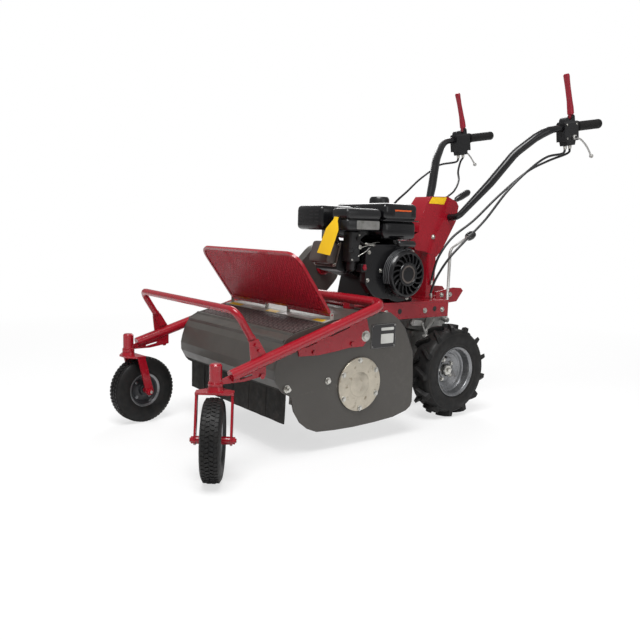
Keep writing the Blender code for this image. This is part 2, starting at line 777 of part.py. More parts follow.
def front_frame():
    """U tube over the deck, gussets to the side plates, saddles on the hood, caster heads and tabs."""
    bm = bmesh.new()
    front, rear = (ARM_FRONT_Y, ARM_FRONT_Z), (ARM_REAR_Y, ARM_REAR_Z)
    corners = [(-ARM_X, *front), (-ARM_X, *rear), (ARM_X, *rear), (ARM_X, *front)]
    tube(bm, bent_path(corners, [ARM_BEND, ARM_BEND], 15), ARM_R, 12)

    def below(y, drop=0.0):
        return (y, arm_z(y) - drop)

    gusset = [(-0.751, 0.298), (-0.682, 0.296), (-0.612, 0.303), (-0.566, 0.309), (-0.511, 0.309), (-0.484, 0.340),
              (-0.498, 0.385), below(-0.504), below(-0.562), below(-0.566, 0.028), below(-0.640, 0.028),
              below(-0.644), below(-0.684), below(-0.688, 0.027), below(-0.728, 0.027), below(-0.732),
              below(-0.760)]
    face = DECK_HALF + GAP
    saddle = rectangle(-0.452, -0.431, hood_z(ARM_REAR_Y) + GAP, ARM_REAR_Z - ARM_R + 0.004)
    bracket = [below(-1.0105), below(-0.872), below(-0.872, 0.045), (-0.940, HEAD_BOTTOM + 0.004),
               (-1.0105, HEAD_BOTTOM + 0.004)]
    slot = [(-0.955, 0.2535), (-0.915, 0.262), (-0.915, 0.267), (-0.955, 0.2585)]
    foot_z, lean = guard_foot()
    tab = [(GUARD_FOOT_Y - 0.034, foot_z - 0.014), (GUARD_FOOT_Y + 0.020, foot_z - 0.004),
           (GUARD_FOOT_Y - 0.012, foot_z + 0.046), (GUARD_FOOT_Y - 0.040, foot_z + 0.040)]
    tab_face = GUARD_X + STRAP_HALF + GAP + 0.0035
    bolts = [(-0.502, 0.340, 0.011, face + GUSSET_T), (-0.556, 0.321, 0.007, face + GUSSET_T),
             (-0.700, 0.306, 0.006, face + GUSSET_T), (-0.885, 0.2575, 0.008, BRACKET_X + BRACKET_T),
             (-0.972, 0.2605, 0.008, BRACKET_X + BRACKET_T)]
    bolts += [(GUARD_FOOT_Y + lean.x * along, foot_z + lean.y * along, 0.0055, tab_face)
              for along in (0.016, 0.036)]
    for side in (-1, 1):
        prism(bm, gusset, side * face, side * (face + GUSSET_T), across())
        prism(bm, saddle, side * 0.120, side * 0.150, across())
        prism(bm, bracket, side * BRACKET_X, side * (BRACKET_X + BRACKET_T), across(), [slot])
        prism(bm, tab, side * (GUARD_X + STRAP_HALF + GAP), side * tab_face, across())
        head = [(STEM_R + FIT, HEAD_BOTTOM), (HEAD_R + 0.003, HEAD_BOTTOM), (HEAD_R + 0.003, HEAD_BOTTOM + 0.006),
                (HEAD_R, HEAD_BOTTOM + 0.008), (HEAD_R, HEAD_TOP - 0.004), (HEAD_R - 0.004, HEAD_TOP),
                (0, HEAD_TOP), (0, HEAD_TOP - 0.006), (STEM_R + FIT, HEAD_TOP - 0.006)]
        turned(bm, head, 18, upright(side * CASTER_X, CASTER_Y, 0))
        for y, z, size, seat in bolts:
            hexagon(bm, size, seat - WELD, seat + 0.005, outwards(side, y, z))
    node("front_frame", bm, RED, 0.30)


def guard_foot():
    """Height of the guard bar's foot over the arm, and the way its leg leans in the side view."""
    foot_z = arm_z(GUARD_FOOT_Y) + ARM_DROP + GAP
    return foot_z, Vector((GUARD_TOP_Y - GUARD_FOOT_Y, GUARD_TOP_Z - foot_z)).normalized()


def guard_bar():
    """Thinner bar that crosses ahead of the deck, with flattened feet beside tabs on the arms."""
    bm = bmesh.new()
    foot_z, flat_lean = guard_foot()
    lean = Vector((0, flat_lean.x, flat_lean.y))
    start = Vector((GUARD_X, GUARD_FOOT_Y, foot_z)) + lean * GUARD_FLAT
    corners = [(-start.x, start.y, start.z), (-GUARD_X, GUARD_TOP_Y, GUARD_TOP_Z),
               (GUARD_X, GUARD_TOP_Y, GUARD_TOP_Z), (start.x, start.y, start.z)]
    tube(bm, bent_path(corners, [0.030, 0.030], 15), GUARD_R, 10)
    side_way = Vector((0, -lean.z, lean.y))
    strap = [(0.012, GUARD_FLAT + 0.003), (-0.012, GUARD_FLAT + 0.003), (-0.012, 0.006), (0.012, 0.010)]
    for side in (-1, 1):
        place = frame((side * GUARD_X, GUARD_FOOT_Y, foot_z), side_way, lean, (1, 0, 0))
        prism(bm, strap, -STRAP_HALF, STRAP_HALF, place)
    node("guard_bar", bm, RED, 0.30)


def caster(name, side, trail):
    """One swivelling caster: fork with its stem and axle bolt, and a wheel with a solid tyre."""
    along = Vector((math.cos(trail), math.sin(trail), 0))
    axle = Vector((-math.sin(trail), math.cos(trail), 0))
    swivel = Vector((side * CASTER_X, CASTER_Y, 0))
    wheel_at = swivel + along * TRAIL + Vector((0, 0, CASTER_R))
    body("fork_" + name, (swivel.x, swivel.y, FORK_PLATE_Z))
    bm = bmesh.new()
    plan = frame(swivel, along, axle, (0, 0, 1))
    top = FORK_PLATE_Z + FORK_PLATE_T
    reach = FORK_HALF + LEG_T / 2
    tip = reach + 0.0005
    plate = [(-0.022, -0.020), (0.004, -tip), (0.036, -tip), (0.036, tip), (0.004, tip), (-0.022, 0.020)]
    prism(bm, plate, FORK_PLATE_Z, top, plan)
    turned(bm, [(0, top - 0.002), (0.023, top - 0.002), (0.019, BOSS_TOP), (STEM_R, BOSS_TOP),
                (STEM_R, HEAD_TOP - 0.008), (0, HEAD_TOP - 0.008)], 14, plan)
    half = LEG_W / 2
    leg = [(0.0065, FORK_PLATE_Z + 0.003), (0.0335, FORK_PLATE_Z + 0.003)]
    leg += [(TRAIL + half * math.cos(a), CASTER_R + half * math.sin(a))
            for a in (math.radians(10 - 40 * k) for k in range(5))]
    side_on = frame(swivel, along, (0, 0, 1), axle)
    on_axle = frame(wheel_at, along, (0, 0, 1), axle)
    for way in (-1, 1):
        prism(bm, leg, way * (reach - LEG_T), way * reach, side_on)
        rod(bm, 0.0098, way * (reach - WELD), way * (reach + 0.007), on_axle, 6)
        rod(bm, 0.0105, way * 0.0215, way * (reach - LEG_T + WELD), on_axle, 10)
    rod(bm, CASTER_PIN_R, -reach - 0.010, reach + 0.010, on_axle, 8)
    node("caster_fork_" + name, bm, RED, 0.30, 0.0, "fork_" + name)
    body("caster_" + name, wheel_at, "fork_" + name)
    bm = bmesh.new()
    bore = CASTER_PIN_R + FIT
    half_rim = 0.0210
    front = [(bore, half_rim), (0.017, half_rim), (0.019, 0.008), (0.040, 0.006), (0.046, 0.016),
             (CASTER_RIM, half_rim - 0.0005), (CASTER_SEAT, half_rim - 0.0045)]
    turned(bm, front + [(r, -h) for r, h in front[::-1]], CASTER_STEPS, on_axle)
    node("caster_rim_" + name, bm, (0.05, 0.05, 0.052), 0.4, 0.6, "caster_" + name)
    bm = bmesh.new()
    tread = CASTER_R / math.cos(math.pi / CASTER_STEPS)
    crown = [(CASTER_SEAT + GAP, half_rim - 0.0050), (CASTER_RIM + GAP, half_rim - 0.0005), (0.070, 0.0275),
             (0.088, CASTER_HALF), (tread - 0.0065, 0.0245), (tread, 0.012)]
    turned(bm, crown + [(r, -h) for r, h in crown[::-1]], CASTER_STEPS, on_axle)
    node("caster_tyre_" + name, bm, RUBBER, 0.7, 0.0, "caster_" + name)


# drive wheels


def drive_wheel(name, side):
    """Deep-dished rim with its hub nut, bolts and stub axle, and a tyre with chevron lugs."""
    body("wheel_" + name, (side * TRACK_HALF, WHEEL_Y, WHEEL_R))
    here = outwards(side, WHEEL_Y, WHEEL_R, TRACK_HALF)
    wall = 0.0045
    seat, edge = RIM_SEAT, RIM_FLANGE
    bm = bmesh.new()
    barrel = [(seat - wall, RIM_HALF - 0.007), (edge - 0.002, RIM_HALF), (edge, RIM_HALF - 0.0015),
              (seat, RIM_HALF - 0.006)]
    web_front = [(0, -0.012), (0.046, -0.012), (0.060, -0.002), (seat - wall, 0.002)]
    web_back = [(seat - wall, -0.006), (0.058, -0.008), (0.045, -0.0165), (0.032, -WEB_BACK),
                (STUB_R, -WEB_BACK), (STUB_R, -STUB_END), (0, -STUB_END)]
    turned(bm, web_front + barrel + [(r, -h) for r, h in barrel[::-1]] + web_back, WHEEL_STEPS, here)
    hexagon(bm, 0.0215, -0.012 - 2 * WELD, 0.008, here)
    hexagon(bm, 0.0085, 0.008 - 2 * WELD, 0.014, here)
    for y, z in circle(0.036, 5, (0, 0), 0.57):
        hexagon(bm, 0.0066, -0.012 - 2 * WELD, -0.006, outwards(side, WHEEL_Y + y, WHEEL_R + z, TRACK_HALF))
    node("rim_" + name, bm, (0.12, 0.125, 0.13), 0.35, 0.75, "wheel_" + name)

    bm = bmesh.new()
    carcass = WHEEL_R - LUG_H
    shoulder = [(seat + GAP, RIM_HALF - 0.0065), (edge + GAP, RIM_HALF - 0.0020), (0.108, 0.0425),
                (0.126, TYRE_HALF), (0.144, 0.037), (carcass, 0.020)]
    turned(bm, shoulder + [(r, -h) for r, h in shoulder[::-1]], WHEEL_STEPS, here)
    for k in range(LUGS * 2):
        way = 1 if k % 2 else -1
        middle = -math.pi / 2 + k * math.pi / LUGS
        rings = []
        for h, lean, wide, low, sink in ((-0.003, 0.0, 0.042, 0.0, 0.0), (0.0392, 0.17, 0.060, 0.004, 0.012)):
            ring = []
            for r, d, s in ((carcass - 0.004 - sink, -1, 1.15), (carcass - 0.004 - sink, 1, 1.15),
                            (WHEEL_R - low, 1, 0.8), (WHEEL_R - low, -1, 0.8)):
                a = middle + lean + d * wide * s
                ring.append(bm.verts.new(here(r * math.cos(a), r * math.sin(a), way * h)))
            rings.append(ring)
        for i in range(4):
            j = (i + 1) % 4
            bm.faces.new((rings[0][i], rings[0][j], rings[1][j], rings[1][i]))
        bm.faces.new(rings[0])
        bm.faces.new(rings[1])
    node("tyre_" + name, bm, RUBBER, 0.75, 0.0, "wheel_" + name)


def gearbox():
    """Cast gearbox below the engine bed, its axle tubes, flat zinc link and the gear lever's pin."""
    bm = bmesh.new()
    bore = STUB_R + FIT
    rounded_box(bm, ((-0.062, 0.062), (-0.072, 0.072), (0.100, 0.304)), 0.018, upright(), 2)
    neck = [(-0.104, 0.312), (-0.020, 0.296), (0.055, 0.296), (0.055, BED_TOP - BED_T - GAP),
            (-0.104, BED_TOP - BED_T - GAP)]
    prism(bm, neck, -0.075, 0.075, across())
    end = TRACK_HALF - WEB_BACK - GAP
    for side in (-1, 1):
        turned(bm, [(0, 0.058), (0.036, 0.058), (0.036, 0.070), (AXLE_TUBE_R, 0.076), (AXLE_TUBE_R, end),
                    (bore, end), (bore, TRACK_HALF - STUB_END - 0.002), (0, TRACK_HALF - STUB_END - 0.002)], 14,
               outwards(side, WHEEL_Y, WHEEL_R))
    link = frame((0.075, -0.006, 0.346), (0, 0.44, 0.90), (0, 0.90, -0.44), (1, 0, 0))
    prism(bm, rectangle(-0.050, 0.050, -0.009, 0.009), -0.002, 0.004, link)
    for u in (-0.040, 0.040):
        at = link(u, 0, 0)
        hexagon(bm, 0.0065, 0.003, 0.009, across(*at))
    box(bm, 0.030, 0.050, 0.068, GEAR_Y + 0.012, GEAR_PIVOT_Z - 0.060, GEAR_PIVOT_Z + 0.012)
    rod(bm, GEAR_PIN_R, 0.049, GEAR_X + 0.011, across(0, GEAR_Y, GEAR_PIVOT_Z), 10)
    node("gearbox", bm, (0.20, 0.20, 0.19), 0.5, 0.6)


# engine


def engine_bed():
    """Red channel that carries the engine, its rear bracket, and the tube round the output shaft."""
    bm = bmesh.new()
    box(bm, -BED_HALF, BED_HALF, BED_FRONT, BED_REAR, BED_TOP - BED_T, BED_TOP)
    cheek = [(BED_REAR - 0.003, 0.384), (BED_REAR - 0.003, 0.436), (0.150, 0.450), (0.196, 0.447), (0.208, 0.436),
             (0.174, 0.396), (0.118, 0.392), (0.104, 0.384)]
    for side in (-1, 1):
        prism(bm, rectangle(-0.285, BED_REAR - 0.0005, 0.352, BED_TOP - 0.002), side * (BED_HALF - 0.0055),
              side * (BED_HALF - 0.0005), across())
        prism(bm, cheek, side * 0.045, side * 0.050, across())
    box(bm, -0.047, 0.047, BED_REAR + 0.002, 0.190, 0.4135, 0.4185)
    here = across(0, *CRANK)
    bore = CRANK_R + FIT
    x0, x1 = CASE_X0 - GAP, GUARD_X1 + GAP
    turned(bm, [(bore, x0), (0.040, x0), (0.040, x0 - 0.008), (0.024, x0 - 0.014), (0.024, x1 + 0.008),
                (0.034, x1 + 0.006), (0.034, x1), (bore, x1)], 14, here)
    box(bm, -BED_HALF + 0.0005, x0 - 0.0145, CRANK_Y - 0.030, CRANK_Y + 0.030, BED_TOP - 0.003, CRANK_Z - 0.018)
    node("engine_bed", bm, RED, 0.32)


def on_cylinder():
    """Frame with w along the cylinder from the crank, v up from it and u across."""
    along = (0, -math.cos(CYL_TILT), math.sin(CYL_TILT))
    up = (0, math.sin(CYL_TILT), math.cos(CYL_TILT))
    return frame((0, *CRANK), (1, 0, 0), up, along)


def cylinder_top(y):
    """Height of the cylinder's upper side."""
    return CRANK_Z + CYL_HALF_H / math.cos(CYL_TILT) + math.tan(CYL_TILT) * (CRANK_Y - y)


def engine_block():
    """Crankcase with its mounting foot, finned cylinder and head, and the valve cover."""
    tilt = on_cylinder()
    top_v = (CASE_TOP - CRANK_Z - CYL_START * math.sin(CYL_TILT)) / math.cos(CYL_TILT)
    face_top = tilt(0, top_v, CYL_START)
    face_low = tilt(0, -0.060, CYL_START)
    foot = BED_TOP + GAP
    outline = [(-0.325, foot), (-0.095, foot), (-0.095, foot + 0.010), (-0.106, foot + 0.014), (-0.100, 0.470),
               (-0.112, 0.560), (-0.140, CASE_TOP), (face_top.y, CASE_TOP), (face_low.y, face_low.z),
               (-0.308, foot + 0.014), (-0.325, foot + 0.010)]
    bm = bmesh.new()
    prism(bm, outline, CASE_X0, CASE_X1, across(), [circle(CRANK_R + FIT, 14, CRANK)])
    node("crankcase", bm, BLACK, 0.42, 0.3)

    bm = bmesh.new()
    v_core = CYL_HALF_H - 0.015
    start, head = CYL_START + GAP, CYL_END - 0.030
    pitch = (head - start) / FINS
    upper = [(v_core, start)]
    for i in range(FINS):
        a = start + i * pitch
        upper += [(v_core, a + pitch * 0.45), (CYL_HALF_H, a + pitch * 0.5), (CYL_HALF_H, a + pitch * 0.97)]
        if i < FINS - 1:
            upper.append((v_core, a + pitch))
    upper.append((CYL_HALF_H, CYL_END))
    lower = [(-v, w) for v, w in upper[::-1]]
    origin = tilt(0, 0, 0)
    side_on = frame(origin, tilt(0, 1, 0) - origin, tilt(0, 0, 1) - origin, (1, 0, 0))
    prism(bm, upper + lower, -CYL_HALF_W, CYL_HALF_W, side_on)
    node("cylinder", bm, (0.05, 0.048, 0.045), 0.5, 0.5)

    bm = bmesh.new()
    w0 = CYL_END + GAP
    rounded_box(bm, ((-0.058, 0.055), (-0.043, 0.043), (w0, w0 + 0.006)), 0.0025, tilt, 1)
    rounded_box(bm, ((-0.052, 0.049), (-0.037, 0.037), (w0 + 0.002, w0 + 0.044)), 0.011, tilt, 2)
    for u in (-0.0505, 0.0475):
        for v in (-0.0355, 0.0355):
            hexagon(bm, 0.0052, w0 + 0.005, w0 + 0.011, frame(origin + tilt(u, v, 0) - origin, (1, 0, 0),
                                                             tilt(0, 1, 0) - origin, tilt(0, 0, 1) - origin))
    node("valve_cover", bm, (0.16, 0.14, 0.13), 0.45, 0.5)


def engine_top():
    """Air cleaner, carburettor, muffler, fuel tank and its cap."""
    up = upright()
    bm = bmesh.new()
    rounded_box(bm, ((0.040, 0.117), (-0.446, -0.300), (INTAKE_Z, 0.694)), 0.010, up, 2)
    rounded_box(bm, ((0.036, 0.120), (-0.450, -0.296), (0.690, 0.728)), 0.014, up, 3)
    turned(bm, [(0, 0.727), (0.011, 0.727), (0.010, 0.7335), (0, 0.7345)], 8, upright(0.078, -0.373))
    node("air_cleaner", bm, BLACK, 0.35)

    bm = bmesh.new()
    rounded_box(bm, ((CYL_HALF_W + GAP, CARB_X), (-0.414, -0.366), (0.550, INTAKE_Z - GAP)), 0.006, up, 1)
    turned(bm, [(0, 0.553), (0.017, 0.553), (0.017, 0.530), (0.012, 0.522), (0, 0.520)], 12,
           upright(0.0775, -0.391))
    node("carburettor", bm, (0.10, 0.10, 0.10), 0.4, 0.6)

    bm = bmesh.new()
    rounded_box(bm, ((-0.150, -0.008), (-0.455, -0.304), (INTAKE_Z, 0.738)), 0.016, up, 3)
    y0, y1 = -0.420, -0.370
    foot = [(y0, cylinder_top(y0) + GAP), (y1, cylinder_top(y1) + GAP), (y1, INTAKE_Z + 0.004),
            (y0, INTAKE_Z + 0.004)]
    prism(bm, foot, -0.046, -0.014, across())
    node("muffler", bm, BLACK, 0.5, 0.4)

    bm = bmesh.new()
    rounded_box(bm, ((-0.146, 0.116), (-0.284, -0.128), (TANK_BOTTOM, TANK_SEAM + 0.002)), 0.018, up, 3)
    rounded_box(bm, ((-0.151, 0.121), (-0.289, -0.123), (TANK_SEAM, TANK_SEAM + 0.004)), 0.0015, up, 1)
    rounded_box(bm, ((-0.147, 0.117), (-0.285, -0.127), (TANK_SEAM + 0.001, TANK_TOP)), 0.016, up, 3)
    rod(bm, NECK_R, TANK_TOP - WELD, TANK_TOP + 0.012, upright(CAP_X, CAP_Y), 14)
    box(bm, -0.060, 0.050, -0.250, -0.150, CASE_TOP + GAP, TANK_BOTTOM + WELD)
    node("fuel_tank", bm, BLACK, 0.22)

    low = TANK_TOP + GAP
    body("fuel_cap", (CAP_X, CAP_Y, low))
    bm = bmesh.new()
    turned(bm, [(0, low + 0.026), (0.030, low + 0.026), (CAP_R - 0.001, low + 0.018), (CAP_R, low),
                (NECK_R + FIT, low), (NECK_R + FIT, TANK_TOP + 0.0125), (0, TANK_TOP + 0.0125)], 20,
           upright(CAP_X, CAP_Y))
    node("fuel_cap", bm, BLACK, 0.4, 0.0, "fuel_cap")


def recoil():
    """Fan shroud with the recoil starter's cover, and the starter grip on its rope."""
    bm = bmesh.new()
    outline = arc(CRANK, 0.100, -118, 96, 18) + [(-0.330, 0.612), (-0.352, 0.590), (-0.352, 0.480), (-0.318, 0.440)]
    prism(bm, outline, CASE_X1 + GAP, SHROUD_X1, across(), [circle(FAN_R + 0.004, 24, CRANK)])
    x0, x1 = SHROUD_X1 - 0.003, RECOIL_X
    turned(bm, [(RECOIL_R, x0), (RECOIL_R, x1 - 0.012), (RECOIL_R - 0.009, x1 - 0.003), (0.034, x1 - 0.001),
                (0.032, x1), (0, x1), (0, x1 - 0.004), (RECOIL_R - 0.012, x1 - 0.006),
                (RECOIL_R - 0.004, x1 - 0.013), (RECOIL_R - 0.004, x0)], 22, across(0, *CRANK))
    for y, z in circle(0.0925, 3, CRANK, 0.93):
        hexagon(bm, 0.0055, SHROUD_X1 - WELD, SHROUD_X1 + 0.006, across(0, y, z))
    prism(bm, rectangle(SWITCH_Y - 0.011, -0.349, SWITCH_Z - 0.013, SWITCH_Z + 0.013), 0.086, SWITCH_X, across())
    eyelet_top = CRANK_Z + RECOIL_R + 0.008
    rope_at = upright(GRIP_X, GRIP_Y)
    rod(bm, 0.0060, CRANK_Z + RECOIL_R - 0.0025, eyelet_top, rope_at, 12)
    hole = bmesh.new()
    rod(hole, ROPE_R + 0.0008, CRANK_Z + RECOIL_R - 0.012, eyelet_top + 0.004, rope_at, 10)
    bm = combine(fused(bm), hole, "DIFFERENCE")
    node("recoil_cover", bm, BLACK, 0.35)
    grip_low = eyelet_top + GAP
    body("starter_grip", (GRIP_X, GRIP_Y, grip_low))
    bm = bmesh.new()
    along = frame((GRIP_X, GRIP_Y, grip_low + GRIP_R), (1, 0, 0), (0, 0, 1), (0, 1, 0))
    half = 0.040
    turned(bm, [(0, -half), (0.007, -half), (GRIP_R, -half + 0.006), (GRIP_R - 0.0015, -0.010), (GRIP_R, 0),
                (GRIP_R - 0.0015, 0.010), (GRIP_R, half - 0.006), (0.007, half), (0, half)], 12, along)
    rod(bm, ROPE_R, grip_low - ROPE_DROP, grip_low + GRIP_R * 0.6, rope_at, 8)
    node("starter_grip", bm, BLACK, 0.5, 0.0, "starter_grip")


def engine_controls():
    """Choke lever, fuel valve lever and the stop switch."""
    arms = (("choke_lever", -0.380, 0.630, 0.026, 35, (0.05, 0.05, 0.05), CARB_X),
            ("fuel_valve", -0.400, 0.590, 0.022, 180, (0.30, 0.05, 0.02), CARB_X),
            ("engine_switch", SWITCH_Y, SWITCH_Z, 0.012, 90, (0.55, 0.03, 0.03), SWITCH_X))
    for name, y, z, length, angle, colour, face in arms:
        body(name, (face + GAP, y, z))
        a = math.radians(angle)
        on = frame((face + GAP, y, z), (0, math.cos(a), math.sin(a)), (0, -math.sin(a), math.cos(a)), (1, 0, 0))
        bm = bmesh.new()
        outline = arc((0, 0), 0.0075, 40, 320, 8) + [(length, -0.0035), (length, 0.0035)]
        prism(bm, outline, 0, 0.005, on)
        rod(bm, 0.003, 0.004, 0.008, on, 8)
        node(name, bm, colour, 0.4, 0.0, name)


def hang_tag():
    """Plain yellow card that hangs by its top from the air cleaner, in front of the valve cover."""
    top = Vector((0.054, -0.4515, 0.7080))
    down = Vector((-0.10, -0.31, -0.945)).normalized()
    wide = Vector((1, 0, 0)) - down * down.x
    wide.normalize()
    place = frame(top, wide, down, wide.cross(down))
    outline = [(-0.012, 0.0), (0.012, 0.0), (0.014, 0.030), (0.034, 0.036), (0.036, 0.128), (-0.036, 0.128),
               (-0.034, 0.036), (-0.014, 0.030)]
    bm = bmesh.new()
    prism(bm, outline, 0, 0.0008, place, [circle(0.003, 8, (0, 0.010))])
    node("hang_tag", bm, (0.75, 0.50, 0.01), 0.6)


# post, handlebar and controls


def post():
    """Red bent-sheet post: column with a base flange, two cheeks and the sheet that wraps over them."""
    head = [(-0.086, 0.634), (-0.039, 0.656), (-0.036, 0.700), (-0.004, 0.762), (0.016, 0.786), (0.106, 0.789),
            (0.154, 0.772), (0.166, 0.757), (0.156, 0.700), (0.088, 0.592), (0.060, 0.566), (0.000, 0.585),
            (-0.049, 0.591)]
    bm = bmesh.new()
    hole = circle(BAR_R + FIT, 14, (PIVOT_Y, PIVOT_Z))
    for side in (-1, 1):
        prism(bm, head, side * (POST_HALF - POST_T), side * POST_HALF, across(), [hole])
    wrap = inset_line(head[1:11], -0.0004)
    inner = inset_line(head[1:11], -POST_T)
    inside = POST_HALF - WELD
    prism(bm, wrap + inner[::-1], -inside, inside, across())
    half = COLUMN_HALF
    column = [(-half, 0.014), (half, 0.014), (half, 0.058), (half - 0.003, 0.058), (half - 0.003, 0.017),
              (0.003 - half, 0.017), (0.003 - half, 0.058), (-half, 0.058)]
    base = BED_TOP + GAP
    prism(bm, column, base + 0.005, 0.640, upright())
    box(bm, -0.041, 0.041, 0.000, BED_REAR - 0.002, base, base + 0.006)
    node("post", bm, RED, 0.30)


def bar_path():
    """Middle line of the handlebar from the right grip's end to the left grip's end."""
    half = [(0.080, PIVOT_Y, PIVOT_Z), (0.143, 0.211, 0.841), (0.192, 0.278, 0.950), (0.236, 0.351, 1.019),
            (GRIP_BAR_X, *GRIP_START), (GRIP_BAR_X, *GRIP_END)]
    right = [(-x, y, z) for x, y, z in half[::-1]]
    return right + half, [0.10, 0.10, 0.10, 0.12, 0.030, 0.030, 0.12, 0.10, 0.10, 0.10]


def on_grip(side, distance):
    """Frame on the bar's end run: u across, v up from the bar, w rearwards along it."""
    start = Vector((side * GRIP_BAR_X, *GRIP_START))
    along = (Vector((side * GRIP_BAR_X, *GRIP_END)) - start).normalized()
    up = Vector((1, 0, 0)).cross(along)
    return frame(start + along * distance, (1, 0, 0), up, along)


def handlebar():
    """Bent tube through the post's head, with grips, control housings and their levers."""
    body("handlebar", (0, PIVOT_Y, PIVOT_Z))
    corners, radii = bar_path()
    bm = bmesh.new()
    tube(bm, bent_path(corners, radii, 15), BAR_R, 10)
    node("handlebar", bm, BLACK, 0.35, 0.1, "handlebar")
    for name, side in (("left", 1), ("right", -1)):
        hand_grip(name, side)
        lever_housing(name, side)
        clutch_lever(name, side)
        steering_lever(name, side)


def hand_grip(name, side):
    """Rubber sleeve closed at the end of the bar."""
    on = on_grip(side, 0)
    run = (Vector(GRIP_END) - Vector(GRIP_START)).length
    bore = BAR_R + FIT
    g0 = HOUSING_END + 0.012
    bm = bmesh.new()
    turned(bm, [(bore, g0), (HAND_R + 0.004, g0), (HAND_R + 0.004, g0 + 0.005), (HAND_R, g0 + 0.008),
                (HAND_R - 0.001, g0 + 0.07), (HAND_R + 0.0005, run - 0.01), (HAND_R - 0.003, run + 0.004),
                (0, run + 0.006), (0, run + FIT), (bore, run + FIT)], 14, on)
    node("hand_grip_" + name, bm, RUBBER, 0.8, 0.0, "handlebar")


def lever_housing(name, side):
    """Control housing clamped on the bar, with ears for the red lever and a stub for the steering lever."""
    on = on_grip(side, 0)
    at = on(0, 0, 0)
    along, up = on(0, 0, 1) - at, on(0, 1, 0) - at
    bm = bmesh.new()
    outline = [(-0.019, -0.050), (0.019, -0.050), (0.019, 0.014), (0.013, 0.0215), (-0.013, 0.0215),
               (-0.019, 0.014)]
    lower = [(-0.0145, HOUSING_LOW), (0.0145, HOUSING_LOW), (0.018, -0.049), (-0.018, -0.049)]
    prism(bm, outline, HOUSING_START, HOUSING_END, on, [circle((BAR_R + FIT) / math.cos(math.pi / 12), 12)])
    prism(bm, lower, HOUSING_START + 0.015, HOUSING_END - 0.018, on)
    pivot = lever_pivot(side)
    flat = frame(pivot, along, up, (1, 0, 0))
    ear = [(-0.010, -0.0155), (0.010, -0.0155), (0.009, 0.004), (0.004, 0.009), (-0.004, 0.009), (-0.009, 0.004)]
    for u in (-1, 1):
        prism(bm, ear, u * 0.0063, u * 0.0100, flat)
    rod(bm, LEVER_PIN_R, -0.012, 0.012, flat, 8)
    dome = arc((HOUSING_START + 0.023, 0.0205), 0.016, 0, 180, 9)
    prism(bm, dome, -0.0122, 0.0122, frame(at, along, up, (1, 0, 0)))
    rod(bm, STEER_PIN_R, -0.0025, 0.013, outwards_at(side, steer_pivot(side)), 8)
    node("lever_housing_" + name, bm, BLACK, 0.4, 0.2, "handlebar")


def lever_pivot(side):
    """Pin of the red lever, above the housing's rear end."""
    return on_grip(side, 0)(0, 0.035, HOUSING_END - 0.018)


def steer_pivot(side):
    """Stub on the outer side of the housing that carries the steering lever."""
    return on_grip(side, 0)(side * 0.0193, -0.038, HOUSING_END - 0.032)


def clutch_lever(name, side):
    """Red lever that stands up at rest and is squeezed down onto the grip."""
    pivot = lever_pivot(side)
    body("clutch_" + name, pivot, "handlebar")
    lean = math.radians(109.5)
    on = frame(pivot, (0, math.cos(lean), math.sin(lean)), (0, -math.sin(lean), math.cos(lean)), (1, 0, 0))
    bm = bmesh.new()
    hub = arc((0, 0), 0.0085, 100, 260, 7)
    prism(bm, hub + [(0.016, -0.0085), (0.016, 0.0090)], -0.0060, 0.0060, on, [circle(LEVER_PIN_R + FIT, 8)])
    rings = []
    for u, v0, v1, half in ((0.0128, -0.0092, 0.0100, 0.011), (0.035, -0.0105, 0.0075, 0.011),
                            (0.060, -0.0085, 0.0045, 0.0105), (0.110, -0.0060, 0.0040, 0.0105),
                            (0.140, -0.0070, 0.0055, 0.0110), (0.152, -0.0080, 0.0065, 0.0115),
                            (0.158, -0.0055, 0.0045, 0.0090)):
        c = half * 0.75
        m = (v1 - v0) * 0.28
        section = [(v0, -c), (v0, c), (v0 + m, half), (v1 - m, half), (v1, c), (v1, -c), (v1 - m, -half),
                   (v0 + m, -half)]
        rings.append([bm.verts.new(on(u, v, w)) for v, w in section])
    for a, b in zip(rings, rings[1:]):
        for i in range(8):
            bm.faces.new((a[i], a[(i + 1) % 8], b[(i + 1) % 8], b[i]))
    bm.faces.new(rings[0])
    bm.faces.new(rings[-1])
    node("clutch_lever_" + name, bm, RED, 0.35, 0.0, "clutch_" + name)


def steering_lever(name, side):
    """Bright bent rod with a ball end, pulled up to free one drive wheel."""
    pivot = steer_pivot(side)
    body("steer_" + name, pivot, "handlebar")
    on = outwards_at(side, pivot)
    bm = bmesh.new()
    rod(bm, 0.0085, GAP, 0.0078, on, 12, STEER_PIN_R + FIT)
    mid = 0.0041
    path = smooth_path([on(0.0068, -0.0010, mid), on(0.040, -0.005, mid), on(0.080, -0.026, mid),
                        on(0.112, -0.055, mid)], 8)
    tube(bm, path, 0.0034, 8)
    way = (path[-1] - path[-2]).normalized()
    side_way = Vector((1, 0, 0))
    ball = frame(path[-1] + way * 0.0065, side_way, way.cross(side_way), way)
    profile = [(0, -0.0082)] + [(0.0082 * math.sin(t), -0.0082 * math.cos(t))
                                for t in (math.radians(a) for a in (36, 72, 108, 144))] + [(0, 0.0082)]
    turned(bm, profile, 8, ball)
    node("steering_lever_" + name, bm, (0.40, 0.40, 0.39), 0.3, 0.9, "steer_" + name)


